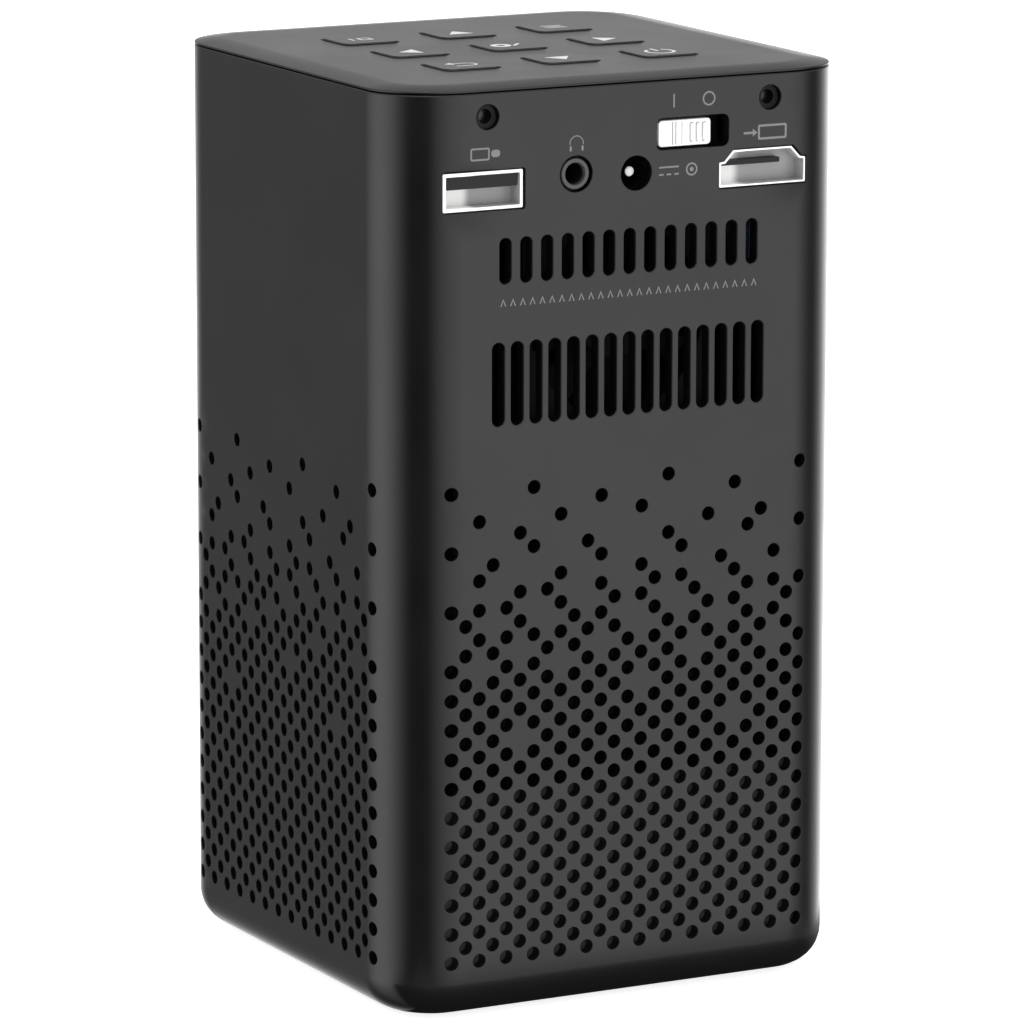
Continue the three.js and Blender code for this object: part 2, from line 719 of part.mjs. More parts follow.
// A deck between the loudspeaker chamber and the optics, with posts for the board and the focus axle.
function deckFrame() {
  const gap = 0.4;
  const size = 2 * (INNER_HALF - gap);
  const deck = prism(size, size, INNER_CORNER - gap, DECK.bottom, DECK.top, { sides: 4 });
  const posts = POSTS.map(({ x, y, radius }) =>
    cut(
      barZ(x, y, radius, DECK.top - 0.5, BOARD.bottom - CLEARANCE, 16),
      barZ(x, y, 1.1, BOARD.bottom - 8, BOARD.bottom, 12),
    ),
  );
  const axlePost = cut(
    block(WHEEL.x - 2.2, WHEEL.x + 3, WHEEL.y - 3, WHEEL.y + 3, DECK.top - 0.5, 100.9),
    barZ(WHEEL.x, WHEEL.y, 1.2, DECK.top + 1.6, 102, 12),
  );
  const leadHole = block(21.5, 29.5, 15, 24, DECK.bottom - 1, DECK.top + 1);
  return cut(join(deck, ...posts, axlePost), leadHole);
}

// The folded film that joins the key board to the main board.
function keyRibbon() {
  const [low, high] = [ON_BOARD, KEY_BOARD.bottom - CLEARANCE];
  const bow = 2.5;
  const thickness = 0.35;
  const outline = new THREE.Shape();
  outline.moveTo(0, low);
  outline.quadraticCurveTo(bow, (low + high) / 2, 0, high);
  outline.lineTo(thickness, high);
  outline.quadraticCurveTo(bow + thickness, (low + high) / 2, thickness, low);
  const width = 12;
  const settings = { depth: width, bevelEnabled: false, curveSegments: 6 };
  const geometry = new THREE.ExtrudeGeometry(outline, settings);
  return solid(geometry.rotateX(Math.PI / 2).translate(0, width / 2, 0));
}

piece("deck_frame", greyPlastic, deckFrame());
piece("key_ribbon", film, keyRibbon(), [26, 0, 0]);

// ---- battery and loudspeaker --------------------------------------------------------------------------

const CELLS = { xs: [-20, 0, 20], y: 14, radius: 9.1, length: 65, bottom: 9.7 };
const HOLDER_BOTTOM = FLOOR + CLEARANCE;

function batteryHolder() {
  const body = block(-31, 31, 2, 26, HOLDER_BOTTOM, DECK.bottom - 0.4);
  const pocket = { radius: CELLS.radius + 0.4, floor: CELLS.bottom - CLEARANCE };
  const pockets = CELLS.xs.map((x) => barZ(x, CELLS.y, pocket.radius, pocket.floor, DECK.top));
  const screwTop = BASE_SCREW.top + CLEARANCE;
  const screwHoles = BASE_SCREWS.map(([x, y]) => barZ(x, y, BASE_SCREW.hole, 0, screwTop, 12));
  const bushRoom = barZ(0, 0, TRIPOD.flange + 0.4, 0, TRIPOD.top + 0.4);
  return cut(body, ...pockets, ...screwHoles, bushRoom);
}

function batteryCell() {
  const top = CELLS.bottom + CELLS.length;
  return join(barZ(0, 0, CELLS.radius, CELLS.bottom, top - 1.5), barZ(0, 0, 3, top - 1.6, top, 12));
}

// The lead from the cells to the main board, up through the deck.
function batteryLead() {
  const radius = 1.2;
  const path = new THREE.CatmullRomCurve3(
    [
      [24, 19, DECK.bottom - 0.1],
      [24, 19, 92],
      [26, 21, 100],
      [26.5, 22, 108],
      [26, 22, 116],
      [26, 22, BOARD.bottom - CLEARANCE],
    ].map((point) => new THREE.Vector3(...point)),
  );
  const section = new THREE.Shape();
  section.absarc(0, 0, radius, 0, 2 * Math.PI);
  const settings = { steps: 10, curveSegments: 4, bevelEnabled: false, extrudePath: path };
  return solid(new THREE.ExtrudeGeometry(section, settings));
}

function speakerBox() {
  const wall = 2;
  const [x, y0, y1] = [28, -27.7, 1.7];
  const [z0, z1] = [SPEAKER_Z - 30, SPEAKER_Z + 30];
  return cut(
    block(-x, x, y0, y1, z0, z1),
    block(wall - x, x - wall, y0 + wall, y1 - wall, z0 + wall, z1 - wall),
    barY(0, SPEAKER_Z, 21, y0 - 1, y0 + wall + 1, 24),
  );
}

function speakerBasket() {
  return turnedY(
    [
      [20, -30],
      [24, -30],
      [24, -28],
      [20.6, -28],
      [12, -17],
      [4, -17],
      [4, -18.2],
      [11.3, -18.2],
      [20, -29],
      [20, -30],
    ],
    0,
    SPEAKER_Z,
    20,
  );
}

// Paper cone with a raised roll at its rim and a dust cap at its middle.
function speakerCone() {
  return turnedY(
    [
      [0, -24.4],
      [3.4, -24],
      [6, -22.8],
      [16.5, -30],
      [18, -30.8],
      [19.4, -30],
      [19.2, -29.2],
      [18, -30],
      [16.8, -29.2],
      [6.2, -21.6],
      [3.4, -21.2],
      [3.4, -19.4],
      [0, -19.4],
    ],
    0,
    SPEAKER_Z,
    20,
  );
}

function grilleLiner() {
  const outer = 2 * (INNER_HALF - CLEARANCE);
  const thickness = 0.6;
  const [low, high] = [7, 34];
  const corner = INNER_CORNER - CLEARANCE;
  return cut(
    prism(outer, outer, corner, low, high, { sides: 4 }),
    prism(outer - 2 * thickness, outer - 2 * thickness, corner - thickness, low - 1, high + 1, { sides: 4 }),
  );
}

piece("battery_holder", greyPlastic, batteryHolder());
CELLS.xs.forEach((x, i) => piece(`battery_cell_${i + 1}`, cellWrap, batteryCell(), [x, CELLS.y, 0]));
piece("battery_lead", rubber, batteryLead());
piece("speaker_box", blackPlastic, speakerBox());
piece("speaker_basket", blackSteel, speakerBasket());
piece("speaker_cone", paper, speakerCone());
piece("speaker_magnet", blackSteel, barY(0, SPEAKER_Z, 10, -16.7, -9));
piece("grille_liner", cloth, grilleLiner());

export default projector;
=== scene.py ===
"""A small upright home projector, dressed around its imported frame.

Lengths are in millimetres until a mesh is made, and heights are from the shell's underside, which the
rubber pad lifts off the table. +Z is up, the lens looks along -Y and the sockets are in the +Y wall.
"""
import json
import math

import bpy
from mathutils import Matrix, Vector
from mathutils.geometry import delaunay_2d_cdt


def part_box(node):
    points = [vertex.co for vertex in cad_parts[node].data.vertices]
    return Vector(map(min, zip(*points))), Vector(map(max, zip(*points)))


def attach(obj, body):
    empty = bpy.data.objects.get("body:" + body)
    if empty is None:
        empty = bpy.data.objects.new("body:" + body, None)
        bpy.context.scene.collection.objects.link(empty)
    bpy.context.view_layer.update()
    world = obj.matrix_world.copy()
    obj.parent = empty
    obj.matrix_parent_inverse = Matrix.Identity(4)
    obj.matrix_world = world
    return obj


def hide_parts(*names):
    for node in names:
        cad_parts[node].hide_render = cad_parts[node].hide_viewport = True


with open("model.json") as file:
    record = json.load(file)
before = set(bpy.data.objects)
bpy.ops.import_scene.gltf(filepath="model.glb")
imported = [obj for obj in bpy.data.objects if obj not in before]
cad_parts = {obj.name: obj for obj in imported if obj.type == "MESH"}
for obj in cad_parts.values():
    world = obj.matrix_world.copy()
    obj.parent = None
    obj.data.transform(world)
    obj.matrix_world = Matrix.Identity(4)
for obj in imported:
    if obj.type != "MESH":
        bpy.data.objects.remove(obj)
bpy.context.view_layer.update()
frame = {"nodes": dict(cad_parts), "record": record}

# ---- driving dimensions ----

MM = 0.001
UP = Vector((0, 0, 1))
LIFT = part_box("body_shell")[0].z / MM


def box_mm(node):
    """The lowest and highest corner of a CAD node, in millimetres from the shell's underside."""
    low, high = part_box(node)
    return low / MM - UP * LIFT, high / MM - UP * LIFT


HALF = box_mm("body_shell")[1].x
SHELL_TOP = box_mm("body_shell")[1].z
LID_TOP = box_mm("top_cap")[1].z
CORNER = 11.1  # radius of the upright edges
CORNER_STEPS = 8
CORE = HALF - CORNER  # half of the square that the corner centres stand on
WALL = 2.0
FLOOR = 4.2
BASE_FILLET = 5.7
INNER_FILLET = BASE_FILLET - WALL
TOP_EDGE = 0.3
EDGE = 0.12  # softening of moulded edges
CAD_EDGE = 0.15  # softening of the meshes kept from the CAD
BEND = 1.6  # step along a wall where it begins to curve
SPAN = CORE + 2 * BEND  # half width of the stretch of wall that holds the openings
BEND_STATIONS = (-SPAN, -CORE - BEND, -CORE, CORE, CORE + BEND, SPAN)
BEND_ROWS = range(86, 138, 8)  # heights of the extra points where the walls begin to curve, above the holes
RECESS = {"half": 31.8, "corner": 8.3, "depth": 3.2}
LIP = {"half": 25, "corner": 4}

# The fine hole grid: staggered columns, with a pattern that thins out upwards.
HOLE = {"radius": 1.025, "pitch": 2.302, "row": 2.25, "lowest": 8.9, "columns": 27, "rows": 33, "sides": 16}
FADE = {
    0: "O..O....O....O",
    1: ".....O....O..",
    2: ".O..O..O......",
    3: "..O......O.O.",
    4: "O..O.O..O..O.O",
    5: ".O...O..O....",
    6: ".O..O..O..O.O.",
    7: "..OO.O.OO.O..",
    8: "OOO.O.OO.O.OOO",
    9: "O.O.OO.O.OO.O",
    10: ".OOOOOO.OO.OO.",
    11: "OO.OO.OOOOOOO",
    12: "O.OO.OOOO.OO.O",
    14: "OOOOOOO.OOOOOO",
    17: "OO.OOOOOOO.OO",
}

VENTS = [
    {"count": 13, "reach": 21, "width": 1.75, "low": 112.05, "high": 118.75},
    {"count": 15, "reach": 22.15, "width": 1.88, "low": 90.65, "high": 103.1},
]
LENS_Z = (box_mm("lens_bezel")[0].z + box_mm("lens_bezel")[1].z) / 2
BEZEL = {"flange": 16.7, "sleeve": 13.7, "bore": 12.6, "depth": 1.2, "plate": 0.8}
BEZEL_LEDGE = {"width": 1.2, "depth": 1}
BEZEL_FLARE = {"width": 1.4, "depth": 1.1}
LENS_BULGE = 2.4
WHEEL = {"thickness": 5, "bore": 1.2, "roller": 1.5, "ribs": 36}
WHEEL_RIB = ((0.0, 0.45), (0.22, 0.08), (0.5, 0), (0.78, 0.08))  # part of the rib's pitch, and depth there
DISH = {"s": 18, "z": LENS_Z, "radius": 17, "depth": 3, "brow": 0.3, "back": 33.5, "block": 22}
DISH_GRID = {"step": 1.5, "reach": 6, "margin": 1, "slot_margin": 0.6}  # the points that carry its curve
DISH_SLOT = {"width": 17.0, "height": 5.8, "corner": 0.9}

# Screws and sockets of the back wall. A place is (s, t) on the wall, and a depth is from its surface.
SCREW = {"x": 24, "z": 137.1, "recess": 1.875, "bore": 1.25, "depth": 1.1}
SCREW_HEAD = {"radius": 1.72, "face": 0.95, "under": 1.05, "shank": 1.15, "socket": 1.05, "deep": 5}
SWITCH = {"x0": -16.87, "x1": -4.45, "z0": 130.26, "z1": 135.04, "corner": 1.0}
KNOB = {"corner": 0.6, "back": 34.5, "face": 38.72, "stem": (2, 1.3)}
KNOB_GROOVES = ((2.4, 0.2, 0.8), (2.95, 0.2, 0.8), (4.0, 0.14, 0.35))  # place, width and depth
KNOB_RIB = {"places": (5.65, 6.7, 7.75), "size": (0.42, 2.7), "rise": 0.26, "moat": 0.15, "root": 0.5}
AUDIO = {"x": 9.15, "z": 127.65, "opening": 2.72, "ring": 2.36, "hole": 1.66, "block": 36.5}
AUDIO_LEDGE = {"depth": 0.8, "width": 0.15}
POWER = {"x": -1.04, "z": 127.1, "hole": 2.6, "bore": 2.7, "pin": 0.76, "tip": 1.95}
JACK = {"corner": 0.6, "floor": 2, "sides": 48}
VIDEO = {"x": -22.95, "low": 123.8, "shoulder": 127.7, "high": 129.45, "wide": 7.5, "narrow": 5.06}
VIDEO_SHELF = {"width": 0.9, "rise": 0.12}
SOCKET = {"depth": 2.6, "inset": 0.1, "gap": 0.14, "corner": 0.3, "edge": 0.08, "inner_corner": 0.15}
DATA_SHEET = {"wall": 0.58, "corner": 0.25}
VIDEO_SHEET = {"wall": 0.38, "corner": 0.2}
DATA_TONGUE = {"place": (-24.6, 127.45), "size": (11.7, 1.9), "front": 38.2, "contacts": 4, "contact": 1.1}
VIDEO_TONGUE = {"place": (21.4, 127.35), "size": (10.2, 0.75), "front": 37.6, "contacts": 10, "contact": 0.4}

# Marks printed on the back wall.
MARKS = {
    "on": (7.4, 137.6),
    "off": (13.4, 137.6),
    "drive": (-25.3, 131.65),
    "screen": (24.4, 131.9),
    "supply": (6.6, 127.1),
    "phones": (-9.13, 132.25),
}
ARROWS = {"count": 27, "reach": 21.4, "z": 109.2, "half": 0.5, "height": 1.15, "line": 0.2}
LINE = 0.26
THICK_LINE = 0.34

LID_RIM = SHELL_TOP + 0.15
LID_UNDERSIDE = 139.95
LID_EDGE = 0.04
LID_BORDER = {"width": 5, "radius": 24, "lean": 0.26, "onset": 0.65, "rings": (0.12, 0.6, 1.25, 2.5, 3.75, 5)}
SKIRT = {"outside": -2.4, "inside": -4.4, "bottom": 136}
KEY_NODES = sorted(name for name in frame["nodes"] if name.startswith("key_"))
KEY_NODES = [name for name in KEY_NODES if name not in ("key_board", "key_ribbon")]
KEY = {"size": 9.6, "gap": 0.2, "corner": 1.7, "edge": 0.22, "hole_edge": 0.08, "stem": 5}
KEY_FLANGE = {"size": 11.4, "bottom": 138.9, "top": 139.6}

PAD = {"corner": 8, "edge": 0.3, "hole": 6, "groove": 0.35}
PAD_GROOVE = ((3, 5), (4.2, 3.8))  # inset from the pad's side, and corner radius
BUSH = {"bore": 3.2, "body": 5, "flange": 7, "seat": 3.2, "rim": 4.6}
THREAD = {"crest": 2.7, "root": 3.17, "pitch": 1.27, "start": 0.3, "rise": 0.45, "fall": 0.55}
FOOT_CLOTH = (30, 40)  # heights between which the liner's colour changes

# ---- faces to build on ----


class Face:
    """A flat face to build on: a point is s along it, t up it and d out from the object's middle."""

    def __init__(self, along, up, out):
        self.along, self.up, self.out = Vector(along), Vector(up), Vector(out)

    def at(self, s, t, d):
        return self.along * s + self.up * t + self.out * d

    def turn(self, along, up, out, s=0, d=0):
        """The direction that leans this much each way, at s and d."""
        return self.along * along + self.up * up + self.out * out


class Wall(Face):
    """One side of the shell, with the start of the upright corners: beyond CORE it curves back."""

    def over(self, s):
        return math.copysign(max(0, abs(s) - CORE), s)

    def at(self, s, t, d):
        return super().at(s, t, CORE + math.sqrt((d - CORE) ** 2 - self.over(s) ** 2))

    def turn(self, along, up, out, s=0, d=0):
        lean = math.asin(self.over(s) / (d - CORE)) if d > CORE else 0
        c, n = math.cos(lean), math.sin(lean)
        return self.along * (along * c + out * n) + self.up * up + self.out * (out * c - along * n)


def compass(kind, degrees):
    a = math.radians(degrees)
    return kind((-math.sin(a), math.cos(a), 0), UP, (math.cos(a), math.sin(a), 0))


LEFT_WALL, BACK_WALL, RIGHT_WALL, FRONT_WALL = WALLS = [compass(Wall, a) for a in (0, 90, 180, 270)]
BACK, FRONT = compass(Face, 90), compass(Face, 270)
PLAN = Face((1, 0, 0), (0, 1, 0), UP)


class Skin:
    """Faces gathered in millimetres, each corner with its own normal, made into one welded mesh."""

    def __init__(self):
        self.points = []
        self.known = {}
        self.faces = []
        self.normals = []
        self.slots = []

    def corner(self, point):
        key = tuple(round(c, 4) for c in point)
        if key not in self.known:
            self.known[key] = len(self.points)
            self.points.append(key)
        return self.known[key]

    def face(self, corners, slot=0):
        """One face from (point, normal) pairs, anticlockwise from outside. Repeated points are left out."""
        kept = []
        for point, normal in corners:
            index = self.corner(point)
            if index not in (i for i, _ in kept):
                kept.append((index, normal))
        if len(kept) > 2:
            self.faces.append([i for i, _ in kept])
            self.normals += [n for _, n in kept]
            self.slots.append(slot)

    def strip(self, ring_a, ring_b, closed=True, slot=0):
        """Four-sided faces between two rings with as many corners."""
        count = len(ring_a)
        for i in range(count if closed else count - 1):
            j = (i + 1) % count
            self.face([ring_a[i], ring_a[j], ring_b[j], ring_b[i]], slot)

    def piece(self, name, node, slot, inlays=(), body="housing", finish=None):
        """One piece, in place of a CAD node. Inlays are the materials after the first."""
        mesh = bpy.data.meshes.new(name)
        mesh.from_pydata([(x * MM, y * MM, (z + LIFT) * MM) for x, y, z in self.points], [], self.faces)
        for material in (finish or FINISHES[slot], *inlays):
            mesh.materials.append(material)
        mesh.polygons.foreach_set("material_index", self.slots)
        mesh.polygons.foreach_set("use_smooth", [True] * len(self.faces))
        mesh.normals_split_custom_set([tuple(n.normalized()) for n in self.normals])
        thing = placed_object(name, mesh)
        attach(thing, body)
        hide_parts(node)


def placed_object(name, data):
    thing = bpy.data.objects.new(name, data)
    bpy.context.scene.collection.objects.link(thing)
    return thing


# ---- outlines ----


def evenly(low, high, steps):
    return [low + (high - low) * i / steps for i in range(steps + 1)]


def arc(s, t, radius, start, end, steps):
    """Points on an arc between two angles in degrees."""
    angles = (math.radians(a) for a in evenly(start, end, steps))
    return [(s + radius * math.cos(a), t + radius * math.sin(a)) for a in angles]


def circle(s, t, radius, sides=32):
    return arc(s, t, radius, 0, 360 - 360 / sides, sides - 1)


def rounded(corners, radius, steps=4):
    """An anticlockwise polygon with each corner rounded."""
    outline = []
    for i, corner in enumerate(corners):
        here = Vector(corner)
        back = (Vector(corners[i - 1]) - here).normalized()
        ahead = (Vector(corners[(i + 1) % len(corners)]) - here).normalized()
        half = back.angle(ahead) / 2
        middle = here + (back + ahead).normalized() * radius / math.sin(half)
        first = here + back * radius / math.tan(half) - middle
        last = here + ahead * radius / math.tan(half) - middle
        sweep = math.atan2(first.x * last.y - first.y * last.x, first.dot(last))
        begin = math.atan2(first.y, first.x)
        for k in range(steps + 1):
            a = begin + sweep * k / steps
            outline.append((middle.x + radius * math.cos(a), middle.y + radius * math.sin(a)))
    return outline


def rounded_box(s, t, width, height, radius, steps=4):
    a, b = width / 2, height / 2
    return rounded([(s - a, t - b), (s + a, t - b), (s + a, t + b), (s - a, t + b)], radius, steps)


def outward(outline):
    """The outward direction at each corner of an anticlockwise outline."""
    directions = []
    for i, here in enumerate(outline):
        before, after = Vector(outline[i - 1]), Vector(outline[(i + 1) % len(outline)])
        a, b = (Vector(here) - before).normalized(), (after - Vector(here)).normalized()
        side = Vector((a.y + b.y, -a.x - b.x)).normalized()
        directions.append(side / max(0.5, side.dot(Vector((a.y, -a.x)))))
    return directions


def facing(outline):
    """The direction each corner's surface faces: a corner between a long and a short side, where a rounding
    begins, takes the long side's, so that flats stay flat."""
    directions = []
    for i, here in enumerate(outline):
        a, b = Vector(here) - Vector(outline[i - 1]), Vector(outline[(i + 1) % len(outline)]) - Vector(here)
        if a.length > 2.5 * b.length:
            side = a.normalized()
        elif b.length > 2.5 * a.length:
            side = b.normalized()
        else:
            side = (a.normalized() + b.normalized()).normalized()
        directions.append(Vector((side.y, -side.x)))
    return directions


def grown(outline, by):
    return [(s + d.x * by, t + d.y * by) for (s, t), d in zip(outline, outward(outline))]


def softened(path, edge):
    """A path of (grow, d) points with its sharp turns eased, as (grow, d, normal), where the surface lies on
    the path's right. A turn of under 25 degrees is a curve, and keeps one point."""
    legs = [(Vector(b) - Vector(a)).normalized() for a, b in zip(path, path[1:])]
    side = [Vector((leg.y, -leg.x)) for leg in legs]
    out = [(*path[0], side[0])]
    for i in range(1, len(path) - 1):
        here = Vector(path[i])
        if legs[i - 1].angle(legs[i]) < math.radians(25):
            out.append((*here, (side[i - 1] + side[i]).normalized()))
            continue
        shorter = min((here - Vector(path[j])).length for j in (i - 1, i + 1))
        room = min(edge, 0.45 * shorter)
        out.append((*(here - legs[i - 1] * room), side[i - 1]))
        out.append((*(here + legs[i] * room), side[i]))
    out.append((*path[-1], side[-1]))
    return out


def anticlockwise(loop):
    area = sum(a[0] * b[1] - b[0] * a[1] for a, b in zip(loop, [*loop[1:], loop[0]]))
    return loop if area > 0 else loop[::-1]


def sheet(outline, holes=(), marks=(), extra=()):
    """Triangles inside an outline and outside its holes, each with whether it is marked. A mark is a list
    of loops, and covers what is inside an odd number of them."""
    points, loops = [], []
    for loop in (outline, *holes, *(loop for mark in marks for loop in mark)):
        loops.append(list(range(len(points), len(points) + len(loop))))
        points += anticlockwise(loop)
    points += extra
    made = delaunay_2d_cdt([Vector(p) for p in points], [], loops, 1, 1e-6, True)
    corners = [points[ids[0]] if ids else tuple(v) for v, ids in zip(made[0], made[3])]
    open_loops = set(range(1, 1 + len(holes)))
    mark_loops, next_loop = [], 1 + len(holes)
    for mark in marks:
        mark_loops.append(set(range(next_loop, next_loop + len(mark))))
        next_loop += len(mark)
    for triangle, owners in zip(made[2], made[5]):
        if 0 in owners and open_loops.isdisjoint(owners):
            yield [corners[i] for i in triangle], any(len(own.intersection(owners)) % 2 for own in mark_loops)


def flat(skin, face, d, outline, holes=(), marks=(), extra=(), slot=0, out=1):
    """A stretch of surface at distance d. The marks let into it take the next material slot."""
    for corners, marked in sheet(outline, holes, marks, extra):
        ring = [(face.at(s, t, d), face.turn(0, 0, out, s, d)) for s, t in corners]
        skin.face(ring[::out], slot + marked)


def rings_of(face, outline, steps, directions=None):
    """One ring of (point, normal) corners for each (grow, d, normal) step."""
    rings = []
    for grow, d, normal in steps:
        ring = []
        for (s, t), way, side in zip(outline, directions or outward(outline), directions or facing(outline)):
            side = side * normal.x
            s, t = s + way.x * grow, t + way.y * grow
            ring.append((face.at(s, t, d), face.turn(side.x, side.y, normal.y, s, d)))
        rings.append(ring)
    return rings


def tube(skin, face, outline, steps, directions=None, slot=0):
    rings = rings_of(face, outline, steps, directions)
    for a, b in zip(rings, rings[1:]):
        skin.strip(a, b, slot=slot)


def straight(skin, face, outline, start, end, out=1):
    """The sides of an outline between two distances, facing out of it, or into it where out is -1."""
    tube(skin, face, outline, [(0, d, Vector((out, 0))) for d in (start, end)])


def loft(skin, face, outline, path, edge=EDGE, slot=0, caps=(True, True)):
    """Walls that carry an outline along a path of (grow, d) points, closed by a cap at each end."""
    steps = softened(path, edge)
    tube(skin, face, outline, steps, slot=slot)
    for closed, step, out in zip(caps, (steps[0], steps[-1]), (-1, 1)):
        if closed:
            flat(skin, face, step[1], grown(outline, step[0]), slot=slot, out=out)


def slab_side(skin, face, outline, low, high, edge):
    """The side between two flat faces, with soft edges. Returns the outline of the faces."""
    steps = softened([(-1, low), (0, low), (0, high), (-1, high)], edge)[1:-1]
    tube(skin, face, outline, steps)
    return grown(outline, steps[0][0])


def block_side(skin, face, outline, back, front, edge=EDGE):
    """The back and sides of a block with a soft front edge. Returns the outline of its front."""
    steps = softened([(0, back), (0, front), (-1, front)], edge)[:-1]
    tube(skin, face, outline, steps)
    flat(skin, face, back, outline, out=-1)
    return grown(outline, steps[-1][0])


def opening(skin, face, outline, path, edge=EDGE, slot=0):
    """The sides of an opening, with its outlines at the surface and at the far end."""
    steps = softened([(1, path[0][1]), *path], edge)[1:]
    tube(skin, face, outline, steps, slot=slot)
    return grown(outline, steps[0][0]), grown(outline, steps[-1][0])


def turned(skin, face, s, t, path, sides=48, edge=EDGE, slot=0):
    """A profile of (radius, d) points turned about an axis that runs out of the face."""
    ways = [Vector(way) for way in circle(0, 0, 1, sides)]
    tube(skin, face, [(s, t)] * sides, softened(path, edge), ways, slot)


def moved(outline, s, t, turn=0):
    c, n = math.cos(math.radians(turn)), math.sin(math.radians(turn))
    return [(s + x * c - y * n, t + x * n + y * c) for x, y in outline]


# ---- materials ----


class Nodes:
    """A node tree, with short ways to add to it."""

    def __init__(self, tree):
        self.tree = tree

    def add(self, kind, inputs=(), **settings):
        node = self.tree.nodes.new(kind)
        for key, value in settings.items():
            setattr(node, key, value)
        for key, value in dict(inputs).items():
            self.set(node.inputs[key], value)
        return node

    def set(self, socket, value):
        if isinstance(value, bpy.types.NodeSocket):
            self.tree.links.new(value, socket)
        else:
            socket.default_value = value

    def math(self, operation, *values):
        return self.add("ShaderNodeMath", enumerate(values), operation=operation).outputs[0]

    def between(self, value, low, high, start=0.3, end=0.7):
        inputs = {"Value": value, "From Min": start, "From Max": end, "To Min": low, "To Max": high}
        return self.add("ShaderNodeMapRange", inputs).outputs["Result"]

    def mix(self, value, colour_a, colour_b, blend="MIX"):
        node = self.add("ShaderNodeMix", data_type="RGBA", blend_type=blend)
        for index, given in ((0, value), (6, colour_a), (7, colour_b)):
            self.set(node.inputs[index], given)
        return node.outputs[2]

    def ramp(self, value, stops, low, high, scale=1):
        """A grey that follows (value, level) stops, divided by the scale."""
        node = self.add("ShaderNodeValToRGB", {"Fac": self.between(value, 0, 1, low, high)})
        elements = node.color_ramp.elements
        while len(elements) < len(stops):
            elements.new(0.5)
        for element, (at, level) in zip(elements, stops):
            element.position = (at - low) / (high - low)
            element.color = (*(level / scale,) * 3, 1)
        return node.outputs["Color"]


class Graph(Nodes):
    """A material's node tree, laid out in the object's own coordinates."""

    def __init__(self, name):
        self.material = bpy.data.materials.new(name)
        self.material.use_nodes = True
        super().__init__(self.material.node_tree)
        self.shader = self.tree.nodes["Principled BSDF"]
        self.place = self.add("ShaderNodeTexCoord").outputs["Object"]

    def noise(self, scale, detail=2, stretch=(1, 1, 1)):
        mapped = self.add("ShaderNodeMapping", {"Vector": self.place, "Scale": stretch}).outputs[0]
        inputs = {"Vector": mapped, "Scale": scale, "Detail": detail}
        return self.add("ShaderNodeTexNoise", inputs).outputs["Fac"]

    def coordinate(self, axis):
        return self.add("ShaderNodeSeparateXYZ", {"Vector": self.place}).outputs[axis]

    def eased(self, value, start, end):
        """0 to 1 as a length goes from start to end, in mm, eased at both ends."""
        inputs = {"Value": value, "From Min": start * MM, "From Max": end * MM}
        return self.add("ShaderNodeMapRange", inputs, interpolation_type="SMOOTHSTEP").outputs["Result"]

    def colour(self, value, colour_a, colour_b):
        self.set(self.shader.inputs["Base Color"], self.mix(value, colour_a, colour_b))

    def bump(self, height, strength, distance=0.00005):
        inputs = {"Height": height, "Strength": strength, "Distance": distance}
        self.set(self.shader.inputs["Normal"], self.add("ShaderNodeBump", inputs).outputs["Normal"])

    def shade(self, **values):
        for key, value in values.items():
            self.set(self.shader.inputs[key.replace("_", " ")], value)
        return self.material


def tinted(colour, by):
    return (*(min(1, c * by) for c in colour), 1)


def plastic(name, colour, rough, grain=2600, bump=0.12, spread=0.05, tone=0.08, shine=0.5):
    """Moulded plastic: a fine grain, and a slight unevenness in tone and gloss."""
    g = Graph(name)
    fine, broad = g.noise(grain, 3), g.noise(60, 3)
    g.bump(fine, bump)
    g.colour(broad, tinted(colour, 1 - tone), tinted(colour, 1 + tone))
    roughness = g.between(broad, rough - spread, rough + spread)
    return g.shade(Roughness=roughness, IOR=1.5, Specular_IOR_Level=shine)


def metal(name, colour, rough, stretch=(1, 1, 1), grain=1800, bump=0.08):
    """Bare or plated metal, with marks drawn out along one axis when it is brushed."""
    g = Graph(name)
    streaks, broad = g.noise(grain, 4, stretch), g.noise(90, 2)
    g.bump(streaks, bump, 0.00002)
    g.colour(broad, tinted(colour, 0.88), tinted(colour, 1.06))
    return g.shade(Metallic=1.0, Roughness=g.between(streaks, rough * 0.8, rough * 1.3))


def lining(name, bright, plain):
    """Satin plating with a painted reflection: its colour is brighter towards one end, from x = bright to x =
    plain in mm.
    """
    g = Graph(name)
    fine, reach = g.noise(900), g.eased(g.coordinate("X"), bright, plain)
    g.bump(fine, 0.03)
    # painted reflection: white at one end, fading to grey along x
    g.colour(reach, (0.95, 0.95, 0.95, 1), (0.34, 0.34, 0.345, 1))
    return g.shade(Roughness=g.between(fine, 0.3, 0.4))


def rubber(name, colour):
    g = Graph(name)
    fine, broad = g.noise(4200, 4), g.noise(140, 3)
    g.bump(fine, 0.35)
    g.colour(broad, tinted(colour, 0.8), tinted(colour, 1.4))
    return g.shade(Roughness=g.between(broad, 0.62, 0.85))


def glass(name, colour):
    """Coated glass, with a tint that drifts as a coating's does."""
    g = Graph(name)
    broad = g.noise(45, 1)
    g.colour(broad, tinted(colour, 0.9), tinted(colour, 1.15))
    g.set(g.shader.inputs["Coat Tint"], g.mix(broad, (0.5, 0.35, 0.9, 1), (0.35, 0.8, 0.6, 1)))
    return g.shade(Transmission_Weight=1.0, Roughness=g.between(broad, 0.01, 0.03), IOR=1.5, Coat_Weight=0.6)


def board(name):
    """Green solder mask over tracks."""
    g = Graph(name)
    cells = g.add("ShaderNodeTexVoronoi", {"Vector": g.place, "Scale": 420.0}, distance="MANHATTAN")
    track = g.between(cells.outputs["Distance"], 0, 1, 0.30, 0.36)
    g.colour(track, (0.02, 0.13, 0.055, 1), (0.008, 0.07, 0.03, 1))
    g.bump(track, 0.3)
    return g.shade(Roughness=g.between(g.noise(200), 0.3, 0.45))


